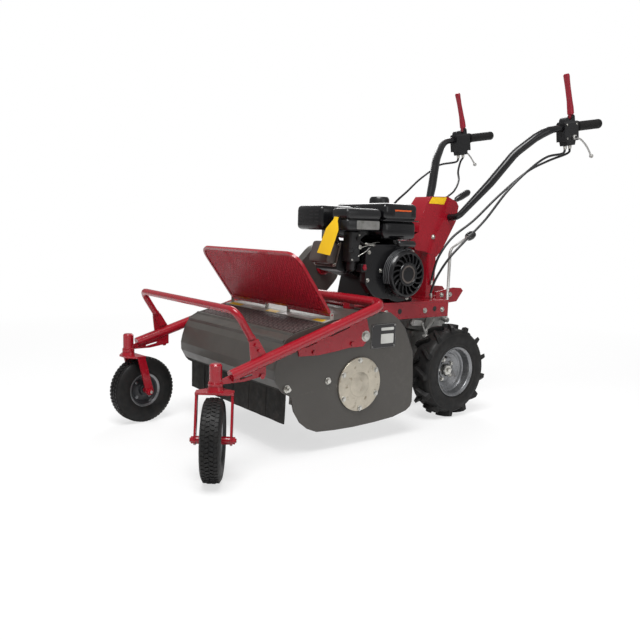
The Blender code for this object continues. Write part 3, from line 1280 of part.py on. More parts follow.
def small_levers():
    """Clamp lever that locks the handlebar's height, and the gear lever with its knob."""
    clamp = Vector((0, 0.160 + 0.781 * (0.007 + GAP), 0.7645 + 0.625 * (0.007 + GAP)))
    body("clamp_lever", clamp)
    bm = bmesh.new()
    rod(bm, 0.007, -0.009, 0.009, frame(clamp, (0, 1, 0), (0, 0, 1), (1, 0, 0)), 10)
    way = Vector((0, 0.90, 0.43)).normalized()
    side_way = Vector((1, 0, 0))
    on = frame(clamp, side_way, way.cross(side_way), way)
    turned(bm, [(0, 0.003), (0.0045, 0.003), (0.0045, 0.030), (0.010, 0.034), (0.0135, 0.060), (0.0135, 0.100),
                (0.009, 0.110), (0, 0.111)], 10, on)
    node("clamp_lever", bm, BLACK, 0.45, 0.0, "clamp_lever")

    body("gear_lever", (GEAR_X, GEAR_Y, GEAR_PIVOT_Z))
    bm = bmesh.new()
    hub = across(GEAR_X, GEAR_Y, GEAR_PIVOT_Z)
    rod(bm, 0.010, -0.007, 0.007, hub, 12, GEAR_PIN_R + FIT)
    start = Vector((GEAR_X, GEAR_Y, GEAR_PIVOT_Z + 0.0080))
    path = bent_path([start, (GEAR_X, GEAR_Y, 0.597), (GEAR_X, 0.196, 0.640)], [0.030], 15)
    tube(bm, path, 0.0045, 8)
    way = (path[-1] - path[-2]).normalized()
    knob = frame(path[-1] - way * 0.006, (1, 0, 0), way.cross(Vector((1, 0, 0))), way)
    turned(bm, [(0, 0), (0.008, 0), (0.015, 0.010), (0.0165, 0.026), (0.0125, 0.040), (0, 0.046)], 12, knob)
    node("gear_lever", bm, ZINC, 0.4, 0.8, "gear_lever")


def cable(name, knots, count):
    """One sheathed cable along a smooth curve."""
    curve = bpy.data.curves.new(name, "CURVE")
    curve.dimensions = "3D"
    curve.bevel_depth = CABLE_R
    curve.bevel_resolution = 2
    curve.use_fill_caps = True
    spline = curve.splines.new("POLY")
    points = smooth_path(knots, count)
    spline.points.add(len(points) - 1)
    for slot, p in zip(spline.points, points):
        slot.co = (*p, 1.0)
    made = bpy.data.objects.new(name, curve)
    bpy.context.scene.collection.objects.link(made)
    curve.materials.append(paint(name, BLACK, 0.45, 0.0))


def cables():
    """Control cables from the housings: left ones to the gearbox and bed, right ones to post and engine."""
    low = HOUSING_LOW - 2 * GAP
    for side in (-1, 1):
        on = on_grip(side, 0)
        front = [on(0, low, 0.070), on(0, low - 0.012, 0.069), on(0, low - 0.026, 0.050)]
        rear = [on(0, low, 0.100), on(0, low - 0.012, 0.099), on(0, low - 0.028, 0.082)]
        if side > 0:
            cable("cable_left_long", front + [(0.247, 0.392, 0.942), (0.226, 0.322, 0.892), (0.192, 0.250, 0.812),
                                              (0.154, 0.185, 0.708), (0.122, 0.120, 0.630), (0.097, 0.062, 0.560),
                                              (0.0745, 0.028, 0.490), (0.0600, 0.020, 0.438),
                                              (0.0600, 0.020, BED_TOP + 2 * GAP)], 30)
            cable("cable_left_short", rear + [(0.236, 0.415, 0.930), (0.205, 0.335, 0.885), (0.162, 0.240, 0.795),
                                              (0.118, 0.165, 0.705), (0.086, 0.090, 0.640), (0.066, 0.045, 0.570),
                                              (0.0530, 0.034, 0.510),
                                              (COLUMN_HALF + 0.0034 + 3 * GAP, 0.034, 0.462)], 26)
        else:
            cable("cable_right_post", rear + [(-0.240, 0.470, 0.920), (-0.195, 0.425, 0.875), (-0.135, 0.330, 0.825),
                                              (-0.092, 0.220, 0.785), (-0.066, 0.150, 0.760),
                                              (-0.054, 0.138, 0.757), (-POST_HALF - 2 * GAP, 0.138, 0.757)], 26)
            cable("cable_right_throttle", front + [(-0.244, 0.360, 0.940), (-0.205, 0.262, 0.905),
                                                   (-0.160, 0.150, 0.860), (-0.122, 0.054, 0.812),
                                                   (-0.104, -0.030, 0.760), (-0.097, -0.085, 0.695),
                                                   (-0.093, -0.092, 0.620), (-0.089, -0.078, 0.545),
                                                   (-0.086, -0.090, 0.518), (-0.085, -0.1045, 0.515)], 30)


def place_origin():
    """Moves the machine along the ground so that the origin is the middle of its footprint."""
    bpy.context.view_layer.update()
    corners = [ob.matrix_world @ v.co for ob in bpy.data.objects if ob.type == "MESH" for v in ob.data.vertices]
    middle = [(min(c[k] for c in corners) + max(c[k] for c in corners)) / 2 for k in (0, 1)]
    shift = Vector((-round(middle[0], 4), -round(middle[1], 4), 0))
    for ob in bpy.data.objects:
        if ob.parent is None:
            ob.location += shift


def main():
    for ob in list(bpy.data.objects):
        bpy.data.objects.remove(ob)
    side_plates()
    hood()
    hinge_strip()
    rotor_cover()
    rotor_bearing()
    curtain()
    lid()
    rotor()
    crank()
    belt_drive()
    front_frame()
    guard_bar()
    caster("left", 1, TRAIL_LEFT)
    caster("right", -1, TRAIL_RIGHT)
    drive_wheel("left", 1)
    drive_wheel("right", -1)
    gearbox()
    engine_bed()
    engine_block()
    engine_top()
    recoil()
    engine_controls()
    hang_tag()
    post()
    handlebar()
    small_levers()
    cables()
    place_origin()


main()
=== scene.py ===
import json
import random
from math import atan2, cos, pi, radians, sin

import bmesh
import bpy
from mathutils import Matrix, Vector

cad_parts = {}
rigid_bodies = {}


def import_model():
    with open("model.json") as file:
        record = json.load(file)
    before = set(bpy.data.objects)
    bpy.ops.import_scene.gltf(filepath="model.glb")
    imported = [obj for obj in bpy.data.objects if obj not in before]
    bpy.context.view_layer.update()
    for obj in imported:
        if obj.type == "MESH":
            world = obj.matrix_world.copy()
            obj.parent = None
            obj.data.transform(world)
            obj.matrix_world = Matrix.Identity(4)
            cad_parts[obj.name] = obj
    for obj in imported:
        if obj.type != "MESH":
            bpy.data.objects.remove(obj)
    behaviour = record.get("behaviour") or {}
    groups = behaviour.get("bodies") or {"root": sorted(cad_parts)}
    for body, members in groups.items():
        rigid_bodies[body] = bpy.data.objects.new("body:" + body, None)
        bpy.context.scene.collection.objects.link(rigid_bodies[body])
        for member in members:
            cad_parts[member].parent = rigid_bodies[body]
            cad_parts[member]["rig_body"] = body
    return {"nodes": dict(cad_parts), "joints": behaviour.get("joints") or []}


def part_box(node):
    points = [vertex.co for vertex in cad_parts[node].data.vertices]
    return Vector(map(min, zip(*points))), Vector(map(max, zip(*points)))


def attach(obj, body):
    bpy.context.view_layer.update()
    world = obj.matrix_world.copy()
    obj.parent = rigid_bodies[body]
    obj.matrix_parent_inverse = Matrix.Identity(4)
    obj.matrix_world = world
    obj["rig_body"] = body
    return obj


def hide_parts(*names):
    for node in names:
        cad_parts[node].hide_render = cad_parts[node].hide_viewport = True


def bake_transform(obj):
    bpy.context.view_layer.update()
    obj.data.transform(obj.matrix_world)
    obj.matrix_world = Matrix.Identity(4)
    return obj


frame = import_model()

# The whole scene is worked out in the machine's own frame: middle plane x = 0, drive axle at
# y = 0, ground at z = 0. AXLE carries it into the row frame.

JOINTS = {j["name"]: j for j in frame["joints"]}


def joint_at(name):
    return Vector(JOINTS[name]["pos_m"])


LEFT_WHEEL = joint_at("wheel_left_roll")
RIGHT_WHEEL = joint_at("wheel_right_roll")
AXLE = Vector(((LEFT_WHEEL.x + RIGHT_WHEEL.x) / 2, LEFT_WHEEL.y, 0))
WHEEL_R = LEFT_WHEEL.z
TRACK_HALF = (LEFT_WHEEL.x - RIGHT_WHEEL.x) / 2
ROTOR = joint_at("rotor_spin") - AXLE
CRANK = joint_at("crank_spin") - AXLE
CURTAIN = joint_at("curtain_swing") - AXLE
LID = joint_at("lid_hinge") - AXLE
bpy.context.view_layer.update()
X, Y, Z = (1, 0, 0), (0, 1, 0), (0, 0, 1)
WASHER_T = 0.0014


def node_box(name):
    """Lowest and highest corner of a CAD node in the machine's frame."""
    low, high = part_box(name)
    return low - AXLE, high - AXLE


# places: each turns (u, v, w) into a point of the machine's frame

def axes_at(origin, u, v, w):
    o, u, v, w = (Vector(k) for k in (origin, u, v, w))
    return lambda a, b, c: o + u * a + v * b + w * c


def outwards(side, x, y, z):
    """u rearwards, v up, w away from the middle on that side."""
    return axes_at((side * x, y, z), Y, Z, (side, 0, 0))


def across(x=0, y=0, z=0):
    """As outwards, on the operator's left."""
    return outwards(1, x, y, z)


def upright(x, y, z):
    return axes_at((x, y, z), X, Y, Z)


def towards(origin, way):
    """w along a direction, u and v square to it."""
    way = Vector(way).normalized()
    u = way.orthogonal().normalized()
    return axes_at(origin, u, way.cross(u), way)


# outlines

def polar(radius, angle):
    return radius * cos(angle), radius * sin(angle)


def arc(radius, start, step, count, a=0.0, b=0.0):
    """Points on a circle about (a, b), a step apart."""
    return [(a + u, b + v) for u, v in (polar(radius, start + step * k) for k in range(count))]


def circle(radius, count, start=0.0):
    return arc(radius, start, 2 * pi / count, count)


def rounded(points, radius, steps=4, closed=False):
    """A polyline with its corners turned into arcs of about that radius."""
    out = []
    count = len(points)
    for i, p in enumerate(points):
        p = Vector(p)
        if not closed and i in (0, count - 1):
            out.append(p)
            continue
        before = Vector(points[i - 1]) - p
        after = Vector(points[(i + 1) % count]) - p
        reach = min(radius, before.length * 0.45, after.length * 0.45)
        a = p + before.normalized() * reach
        b = p + after.normalized() * reach
        for k in range(steps + 1):
            t = k / steps
            out.append(a * (1 - t) ** 2 + p * 2 * t * (1 - t) + b * t ** 2)
    return [tuple(q) for q in out]


def rectangle(a0, a1, b0, b1):
    return [(a0, b0), (a1, b0), (a1, b1), (a0, b1)]


def soft_box(a0, a1, b0, b1, radius=0.003, steps=3):
    """A rectangle with round corners."""
    return rounded(rectangle(a0, a1, b0, b1), radius, steps, closed=True)


def mirrored(half):
    """A profile and its mirror image, as one line."""
    return half + [(r, -h) for r, h in half[::-1]]


def between(rows, at):
    """Straight interpolation in rows of (place, value)."""
    for (p0, v0), (p1, v1) in zip(rows, rows[1:]):
        if at <= p1:
            break
    return v0 + (v1 - v0) * (min(at, p1) - p0) / (p1 - p0)


def spline(knots, count):
    """Catmull-Rom curve through the knots."""
    knots = [Vector(k) for k in knots]
    ends = [knots[0] * 2 - knots[1]] + knots + [knots[-1] * 2 - knots[-2]]
    out = []
    for s in range(count):
        t = s / (count - 1) * (len(knots) - 1)
        i = min(int(t), len(knots) - 2)
        f = t - i
        a, b, c, d = ends[i:i + 4]
        out.append(0.5 * (2 * b + (c - a) * f + (2 * a - 5 * b + 4 * c - d) * f * f
                          + (3 * b - a - 3 * c + d) * f ** 3))
    return out


# shapes

def ring_of(bm, points):
    return [bm.verts.new(p) for p in points]


def band(bm, a, b):
    """Quads between two closed rings of as many vertices."""
    for i in range(len(a)):
        j = (i + 1) % len(a)
        bm.faces.new((a[i], a[j], b[j], b[i]))


def loft(bm, rings):
    """Skin over a row of closed rings, capped at both ends."""
    for a, b in zip(rings, rings[1:]):
        band(bm, a, b)
    bm.faces.new(rings[0][::-1])
    bm.faces.new(rings[-1])


def lathe(bm, profile, place, steps):
    """Turns (radius, along w) points about w. A profile with both ends off the axis is closed."""
    rings = []
    for radius, along in profile:
        spots = circle(radius, steps) if radius > 1e-6 else [(0, 0)]
        rings.append(ring_of(bm, [place(a, b, along) for a, b in spots]))
    if len(rings[0]) == len(rings[-1]) == steps:
        rings.append(rings[0])
    for a, b in zip(rings, rings[1:]):
        if len(a) == len(b) > 1:
            band(bm, a, b)
        elif len(a) != len(b):
            tip, rim = (a[0], b) if len(a) == 1 else (b[0], a)
            for k in range(steps):
                bm.faces.new((tip, rim[k], rim[(k + 1) % steps]))


def disc(bm, place, radius, height, soft, steps, cuts=2):
    """A washer, boss or pin."""
    lathe(bm, rounded(rectangle(0, radius, 0, height), soft, cuts), place, steps)


def prism(bm, outline, w0, w1, place):
    loft(bm, [ring_of(bm, [place(a, b, w) for a, b in outline]) for w in (w0, w1)])


def tube(bm, points, radius, sides):
    """A round bar along points; radius is one number or a list."""
    points = [Vector(p) for p in points]
    radii = radius if isinstance(radius, list) else [radius] * len(points)
    last = len(points) - 1
    ways = [(points[min(i + 1, last)] - points[max(i - 1, 0)]).normalized() for i in range(last + 1)]
    u = ways[0].orthogonal().normalized()
    rings = []
    for p, way, r in zip(points, ways, radii):
        u = (u - way * u.dot(way)).normalized()
        v = way.cross(u)
        rings.append(ring_of(bm, [p + u * a + v * b for a, b in circle(r, sides)]))
    loft(bm, rings)


def slab(bm, sheets):
    """Two grids of points, each skinned, with their edges joined."""
    rims = []
    for rows in sheets:
        rows = [ring_of(bm, row) for row in rows]
        for a, b in zip(rows, rows[1:]):
            for c in range(len(a) - 1):
                bm.faces.new((a[c], a[c + 1], b[c + 1], b[c]))
        rims.append([r[0] for r in rows] + rows[-1][1:] + [r[-1] for r in rows[::-1]][1:] + rows[0][-2:0:-1])
    band(bm, *rims)


def hex_bolt(bm, place, size, height, washer=0.0):
    """Hexagon head with a turned-down top, over a washer if it has one."""
    base = WASHER_T if washer else 0.0
    if washer:
        disc(bm, place, washer, WASHER_T, 0.0004, 28)
    loft(bm, [ring_of(bm, [place(a, b, base + w) for a, b in circle(r, 6)])
              for r, w in ((size, 0), (size, height * 0.82), (size * 0.84, height))])


def bead(bm, points, radius):
    """A weld bead: a thin rope of small swells along a closed line."""
    fine = []
    for a, b in zip(points, points[1:] + points[:1]):
        a, b = Vector(a), Vector(b)
        cuts = max(1, int((b - a).length / (radius * 0.6)))
        fine += [a.lerp(b, k / cuts) for k in range(cuts)]
    fine.append(Vector(points[0]))
    tube(bm, fine, [radius * (0.82 + 0.28 * (k % 3 == 1)) for k in range(len(fine))], 8)


# materials

def new_material(name):
    made = bpy.data.materials.new(name)
    made.use_nodes = True
    tree = made.node_tree
    return made, tree, tree.nodes["Principled BSDF"]


def feed(node, inputs):
    """Links each output to its socket of the node, and sets the plain values."""
    for key, value in inputs.items():
        if hasattr(value, "is_output"):
            node.id_data.links.new(value, node.inputs[key])
        else:
            node.inputs[key].default_value = value


def add(tree, kind, inputs=None, **settings):
    made = tree.nodes.new("ShaderNode" + kind)
    for key, value in settings.items():
        setattr(made, key, value)
    feed(made, inputs or {})
    return made


def here(tree):
    """The piece's own coordinates in metres."""
    return add(tree, "TexCoord").outputs["Object"]


def noise(tree, scale, detail=4, rough=0.55):
    inputs = {"Vector": here(tree), "Scale": scale, "Detail": detail, "Roughness": rough}
    return add(tree, "TexNoise", inputs).outputs["Fac"]


# these join the tree of their first socket

def span(value, low, high, to_low=0, to_high=1):
    inputs = {"Value": value, "From Min": low, "From Max": high, "To Min": to_low, "To Max": to_high}
    return add(value.id_data, "MapRange", inputs).outputs[0]


def maths(operation, a, b):
    return add(a.id_data, "Math", {0: a, 1: b}, operation=operation).outputs[0]


def blend_colours(fac, a, b):
    a, b = ((*c, 1) if isinstance(c, tuple) else c for c in (a, b))
    return add(fac.id_data, "Mix", {0: fac, 6: a, 7: b}, data_type="RGBA").outputs[2]


def bump(height, strength, distance, after=None):
    inputs = {"Height": height, "Strength": strength, "Distance": distance}
    if after:
        inputs["Normal"] = after
    return add(height.id_data, "Bump", inputs).outputs[0]


def edges(tree, low, high):
    """1 on convex edges, or in hollows where low is the larger."""
    return span(add(tree, "NewGeometry").outputs["Pointiness"], low, high)


def times(colour, k):
    return tuple(c * k for c in colour)


DUST = (0.2, 0.165, 0.125)


def dusted(tree, tone, share, level, scale, thin, thick):
    """Dust in drifts on the faces that look up."""
    normal = add(tree, "NewGeometry").outputs["Normal"]
    up = span(add(tree, "SeparateXYZ", {0: normal}).outputs["Z"], level, 1)
    film = maths("MULTIPLY", up, span(noise(tree, scale, 6), thin, thick, 0, share))
    return blend_colours(film, tone, DUST)


def paint(name, colour, rough, coat, dusty, worn=(0.1, 0.09, 0.085), wear=0.35, peel=0.03):
    """Sprayed enamel: orange peel, tone drift, dust on top and wear along the edges."""
    made, tree, shade = new_material(name)
    tone = blend_colours(noise(tree, 7), times(colour, 0.86), times(colour, 1.1))
    tone = dusted(tree, tone, dusty, 0.1, 26, 0.42, 0.72)
    rubbed = maths("MULTIPLY", edges(tree, 0.54, 0.66), span(noise(tree, 60, 5), 0.5, 0.66, 0, wear))
    tone = blend_colours(rubbed, tone, worn)
    skin = bump(noise(tree, 420, 2), peel, 0.0006)
    feed(shade, {
        "Base Color": tone, "Coat Weight": coat, "Coat Roughness": 0.08, "Specular IOR Level": 0.3,
        "Roughness": span(noise(tree, 18, 5), 0.3, 0.75, rough - 0.05, rough + 0.12),
        "Normal": bump(noise(tree, 14, 3), 0.05, 0.004, skin)})
    return made


def metal(name, colour, rough, dark, scale, strength, metallic=1, stain=None):
    """Bare or plated metal with tool marks or cast grain, and stains."""
    made, tree, shade = new_material(name)
    tone = blend_colours(span(noise(tree, 22, 6), 0.3, 0.7), times(colour, dark), colour)
    if stain:
        tone = blend_colours(span(noise(tree, 45, 8, 0.7), 0.56, 0.7), tone, stain)
    marks = noise(tree, scale, 5, 0.6)
    feed(shade, {
        "Base Color": tone, "Metallic": metallic, "Normal": bump(marks, strength, 0.0008),
        "Roughness": span(marks, 0.3, 0.7, rough - 0.08, rough + 0.12)})
    return made


def plastic(name, colour, rough, dusty=0.04, grain=0.02, scale=200):
    """Moulded plastic with a fine leather grain."""
    made, tree, shade = new_material(name)
    tone = blend_colours(noise(tree, 12), times(colour, 0.85), times(colour, 1.15))
    cells = add(tree, "TexVoronoi", {"Vector": here(tree), "Scale": scale}).outputs["Distance"]
    feed(shade, {
        "Base Color": dusted(tree, tone, dusty, 0.2, 30, 0.45, 0.75),
        "Roughness": span(noise(tree, 24, 4), 0.3, 0.7, rough - 0.05, rough + 0.1),
        "Normal": bump(cells, grain, 0.0004)})
    return made


def rubber(name, colour, rough, dusty):
    """Rubber: dull, a little chalky, with dust in the hollows."""
    made, tree, shade = new_material(name)
    tone = blend_colours(noise(tree, 16, 6), times(colour, 0.75), times(colour, 1.25))
    tone = blend_colours(span(noise(tree, 38, 8, 0.65), 0.4, 0.72, 0, dusty), tone, times(DUST, 0.75))
    hollow = maths("MULTIPLY", edges(tree, 0.5, 0.42), 0.25)
    skin = bump(noise(tree, 700, 3), 0.12, 0.0005)
    feed(shade, {
        "Base Color": blend_colours(hollow, tone, times(DUST, 0.6)), "Specular IOR Level": 0.28,
        "Roughness": span(noise(tree, 50, 4), 0.3, 0.7, rough - 0.06, rough + 0.14),
        "Normal": bump(noise(tree, 60, 4), 0.1, 0.0015, skin)})
    return made


def tread_plate(name, colour, rough, pitch, coat, lift):
    """Sheet with short raised bars that lean one way and the other in turn. The bars are painted lighter than
    the sheet, a painted highlight on their crests.
    """
    made, tree, shade = new_material(name)
    place = here(tree)
    bars = None
    for lean, offset in ((radians(58), 0), (radians(-58), 0.5)):
        turned = add(tree, "Mapping", {"Vector": place, "Scale": (1 / pitch,) * 3,
                                       "Location": (offset, offset, 0), "Rotation": (0, 0, lean)})
        cell = add(tree, "VectorMath", {0: turned.outputs[0]}, operation="FRACTION")
        parts = add(tree, "SeparateXYZ", {0: cell.outputs[0]}).outputs
        along, beside = (maths("ABSOLUTE", maths("SUBTRACT", parts[k], 0.5), 0) for k in "XY")
        bar = maths("MULTIPLY", span(along, 0.4, 0.28), span(beside, 0.17, 0.07))
        bars = bar if bars is None else maths("MAXIMUM", bars, bar)
    tone = blend_colours(noise(tree, 9, 6), times(colour, 0.85), times(colour, 1.12))
    feed(shade, {
        # painted highlight: the bars are mixed towards the colour times lift, lighter than the sheet between
        # them
        "Base Color": blend_colours(maths("MULTIPLY", bars, 0.7), tone, times(colour, lift)),
        "Roughness": span(noise(tree, 30, 5), 0.3, 0.7, rough - 0.05, rough + 0.12),
        "Coat Weight": coat, "Coat Roughness": 0.2, "Specular IOR Level": 0.15,
        "Normal": bump(bars, 1, 0.0012)})
    return made


# after the colour comes the roughness; then metal has its darkest share, scale and depth of the marks,
# metallic and stain, plastic its dust, depth and scale of the grain, and tread plate its pitch

M = {
    "red": paint("red_enamel", (0.31, 0.0042, 0.014), 0.24, coat=0.45, dusty=0.035, wear=0.22),
    # the lid's sheet is a darker red than the frame's, a painted shade between the bars, and lift=3.6 paints
    # highlights on the bars' crests
    "red_lid_painted_light": tread_plate("red_lid_painted_light", (0.225, 0.0036, 0.012), 0.44, 0.0105, coat=0.08, lift=3.6),
    "grey": paint("deck_grey", (0.066, 0.061, 0.055), 0.36, coat=0.12, dusty=0.12,
                  worn=(0.25, 0.23, 0.2), peel=0.05),
    "black": paint("black_enamel", (0.006, 0.006, 0.007), 0.28, coat=0.3, dusty=0.02,
                   worn=(0.08, 0.07, 0.07)),
    "block": metal("black_casting", (0.01, 0.01, 0.011), 0.44, 0.7, 520, 0.35, 0.1),
    "valve": metal("valve_cover", (0.13, 0.11, 0.1), 0.4, 0.75, 420, 0.22, 0.5),
    "alloy": metal("grey_casting", (0.36, 0.355, 0.34), 0.46, 0.55, 380, 0.35, 0.75, (0.07, 0.06, 0.05)),
    "cover": metal("machined_cover", (0.56, 0.51, 0.42), 0.38, 0.72, 140, 0.05, 0.75, (0.22, 0.18, 0.13)),
    "steel": metal("worn_steel", (0.3, 0.28, 0.26), 0.45, 0.6, 200, 0.15, stain=(0.12, 0.07, 0.04)),
    "zinc": metal("zinc_plate", (0.62, 0.61, 0.57), 0.28, 0.72, 300, 0.06),
    # a near-white, mostly non-metal colour for the clutch arm's plated metal: its sheen is painted into the
    # colour so it shows bright in the shade under the bed
    "bright": metal("bright_painted_sheen", (0.8, 0.79, 0.76), 0.45, 0.8, 300, 0.08, 0.15),
    "satin": metal("satin_rod", (0.46, 0.455, 0.44), 0.42, 0.8, 260, 0.03, 0.35, (0.18, 0.15, 0.12)),
    "rim": metal("rim_silver", (0.3, 0.305, 0.315), 0.32, 0.62, 240, 0.06, 0.85, (0.12, 0.105, 0.09)),
    "rim_dark": paint("rim_dark", (0.02, 0.021, 0.024), 0.34, coat=0.2, dusty=0.08),
    "tyre": rubber("tyre_rubber", (0.0052, 0.0052, 0.0055), 0.54, 0.05),
    "flap": rubber("flap_rubber", (0.012, 0.0115, 0.011), 0.66, 0.12),
    "grip": rubber("grip_rubber", (0.007, 0.007, 0.007), 0.62, 0.03),
    "ribs": plastic("cover_ribs", (0.075, 0.078, 0.082), 0.34),
    "sheath": plastic("cable_sheath", (0.008, 0.008, 0.009), 0.36, 0.02, 0.04, 900),
    "plastic": plastic("black_plastic", (0.007, 0.007, 0.008), 0.32, 0.03, 0.08, 900),
    "tank": plastic("tank_black", (0.005, 0.005, 0.006), 0.15, 0.02, 0.01, 300),
    "red_plastic": plastic("red_plastic", (0.26, 0.005, 0.018), 0.3, 0.03, 0.03, 900),
    "yellow": plastic("yellow_card", (0.86, 0.54, 0.006), 0.46),
    "white": plastic("pale_print", (0.56, 0.56, 0.53), 0.42, 0.06),
    "dark_print": plastic("dark_print", (0.02, 0.019, 0.02), 0.36, 0.05),
    "orange": plastic("orange_print", (0.66, 0.1, 0.015), 0.4, 0.03),
    # lift=4.5 paints highlights on the crests of the strip's bars
    "tread": tread_plate("tread_strip_painted_crests", (0.04, 0.03, 0.029), 0.5, 0.014, coat=0, lift=4.5),
    "pale": metal("pale_strip", (0.42, 0.4, 0.365), 0.52, 0.8, 260, 0.05, 0.15, (0.2, 0.17, 0.14)),
}


# pieces

def placed(name, data):
    """A new object in the scene."""
    ob = bpy.data.objects.new(name, data)
    bpy.context.scene.collection.objects.link(ob)
    return ob


def solid(name, bm):
    mesh = bpy.data.meshes.new(name)
    bm.to_mesh(mesh)
    bm.free()
    return placed(name, mesh)


def dress(ob, material, body, bevel=0, angle=40):
    """Smooth faces with crisp or rounded edges, the material and the body it rides on."""
    mesh = ob.data
    mesh.shade_smooth()
    mesh.materials.append(M[material])
    if bevel:
        rim = ob.modifiers.new("edge", "BEVEL")
        rim.width = bevel
        rim.segments = 2
        rim.limit_method = "ANGLE"
        rim.angle_limit = radians(angle)
        rim.miter_outer = "MITER_ARC"
        flat = ob.modifiers.new("flat", "WEIGHTED_NORMAL")
        flat.mode = "FACE_AREA"
        flat.weight = 100
    else:
        mesh.set_sharp_from_angle(angle=radians(angle))
    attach(ob, body)
    return ob


def piece(name, bm, material, body="root", replaces=(), **looks):
    """A new piece from machine-frame geometry."""
    bmesh.ops.recalc_face_normals(bm, faces=bm.faces)
    bmesh.ops.translate(bm, verts=bm.verts, vec=AXLE)
    ob = dress(solid(name, bm), material, body, **looks)
    if replaces:
        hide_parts(*replaces)
    return ob


def turned(name, material, profile, place, steps, **where):
    """A piece that is one turned profile."""
    bm = bmesh.new()
    lathe(bm, profile, place, steps)
    piece(name, bm, material, **where)


def pressed(name, material, outline, w0, w1, place=across(), **where):
    """A piece that is one outline with a thickness."""
    bm = bmesh.new()
    prism(bm, outline, w0, w1, place)
    piece(name, bm, material, **where)


def bolts(name, spots, body="root", bevel=0.0003):
    """Plated bolt heads, each with its place, size, height and washer."""
    bm = bmesh.new()
    for spot in spots:
        hex_bolt(bm, *spot)
    piece(name, bm, "zinc", body, bevel=bevel)


BOTH = (-1, 1)


def facing(sides, x, spots, *size):
    """Bolts of one size on upright faces: x from the middle on each side, at each (y, z)."""
    return [(outwards(side, x, y, z), *size) for side in sides for y, z in spots]


# runs of tube that look stouter in the photograph: along which axis, from where to where, how much
STOUTER = {"handlebar": (1, 0.15, 0.4, 0.004), "gear_lever": (2, 0.35, 0.6, 0.0016)}
RAMP = 0.02             # the swelling grows over this length
CASE_TRIM = 0.0056      # how far the belt case's face steps in, to leave room for its bolts


def finished(node, material, bevel, angle=32):
    """A CAD node's own shape with merged facets, rounded edges and a real material."""
    source = frame["nodes"][node]
    bm = bmesh.new()
    bm.from_mesh(source.data)
    bmesh.ops.remove_doubles(bm, verts=bm.verts, dist=1e-6)
    if node in STOUTER:
        axis, start, end, extra = STOUTER[node]
        bm.normal_update()
        for v in bm.verts:
            at = (v.co - AXLE)[axis]
            v.co += v.normal * extra * min(1, max(0, min(at - start, end - at) / RAMP))
    if node == "belt_guard":
        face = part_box(node)[0].x + 0.001
        for v in bm.verts:
            if v.co.x < face:
                v.co.x += CASE_TRIM
    if bevel:
        bmesh.ops.dissolve_limit(bm, angle_limit=radians(1), verts=bm.verts, edges=bm.edges)
    ob = dress(solid(node + "_finish", bm), material, source["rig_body"], bevel, angle)
    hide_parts(node)


# CAD shapes that stay as they are: material, width of the rounded edge and, where it isn't 32, the angle
# from which an edge counts

FINISHES = (
    ("side_plate_left side_plate_right", "grey", 0.0006), ("hood", "grey", 0.0035, 7),
    ("hinge_strip", "pale", 0.0003), ("rotor_bearing_right", "steel", 0.0006),
    ("curtain_rod", "zinc", 0.0004, 50), ("lid", "red", 0.0012), ("rotor", "steel", 0.0005),
    ("hammers_a hammers_b hammers_c", "steel", 0.0008, 40), ("crankshaft", "steel", 0.0005, 40),
    ("drive_belt", "flap", 0.0006), ("belt_guard", "grey", 0.003), ("front_frame", "red", 0.0008, 40),
    ("guard_bar", "red", 0.0005, 40), ("caster_fork_left caster_fork_right", "red", 0.0008, 40),
    ("gearbox", "alloy", 0.0012), ("engine_bed", "red", 0.0007), ("crankcase", "block", 0.0035, 25),
    ("cylinder", "block", 0.0004), ("valve_cover", "valve", 0.0008, 40), ("air_cleaner", "plastic", 0, 40),
    ("carburettor", "block", 0.001, 40), ("muffler", "black", 0, 45), ("fuel_tank", "tank", 0, 45),
    ("fuel_cap", "plastic", 0.001), ("starter_grip", "plastic", 0, 40), ("choke_lever", "plastic", 0.0004),
    ("fuel_valve", "block", 0.0004), ("engine_switch", "red_plastic", 0.0004), ("post", "red", 0.0005),
    ("handlebar", "black", 0, 45), ("lever_housing_left lever_housing_right", "plastic", 0.0012),
    ("clutch_lever_left clutch_lever_right", "red_plastic", 0.0006, 40),
    ("steering_lever_left steering_lever_right", "satin", 0, 60), ("clamp_lever", "plastic", 0, 45),
    ("gear_lever", "satin", 0, 60),
)


# wheels

LUGS = 13               # on each side of a drive tyre
LUG_HEIGHT = 0.015
RIM_SEAT = 0.084
RIM_FLANGE = 0.09
CASTER_R = joint_at("caster_left_roll").z
BLOCKS = 54             # tread blocks round a caster's tyre


def drive_tyre(name, side):
    """Carcass with a bead ring and sidewall ribs, and curved chevron bars on the tread."""
    place = outwards(side, TRACK_HALF, 0, WHEEL_R)
    carcass = WHEEL_R - LUG_HEIGHT
    half = [(RIM_SEAT + 0.0006, 0.0335), (RIM_FLANGE + 0.0006, 0.0384), (0.0965, 0.0405), (0.0985, 0.042),
            (0.101, 0.0412), (0.112, 0.0428), (0.126, 0.0433), (0.1365, 0.0412), (0.1385, 0.042),
            (0.141, 0.0396), (0.148, 0.033), (carcass, 0.018)]
    bm = bmesh.new()
    lathe(bm, mirrored(rounded(half, 0.006, 3)), place, 104)
    for k in range(LUGS * 2):
        way = 1 if k % 2 else -1
        rings = []
        for f in (0, 0.25, 0.5, 0.75, 1):
            middle = -pi / 2 + k * pi / LUGS + 0.17 * f ** 1.25
            wide = 0.042 + 0.018 * f
            top = WHEEL_R - 0.004 * f ** 3 - 0.0003
            foot = carcass - 0.003 - 0.012 * f ** 2
            corners = ((foot, -1.22), (foot, 1.22), (top - 0.006, 0.92), (top, 0.74), (top, -0.74),
                       (top - 0.006, -0.92))
            w = way * (0.0422 * f - 0.003)
            rings.append(ring_of(bm, [place(*polar(r, middle + wide * s), w) for r, s in corners]))
        loft(bm, rings)
    piece("tyre_%s_rubber" % name, bm, "tyre", "wheel_" + name, ("tyre_" + name,), bevel=0.001)


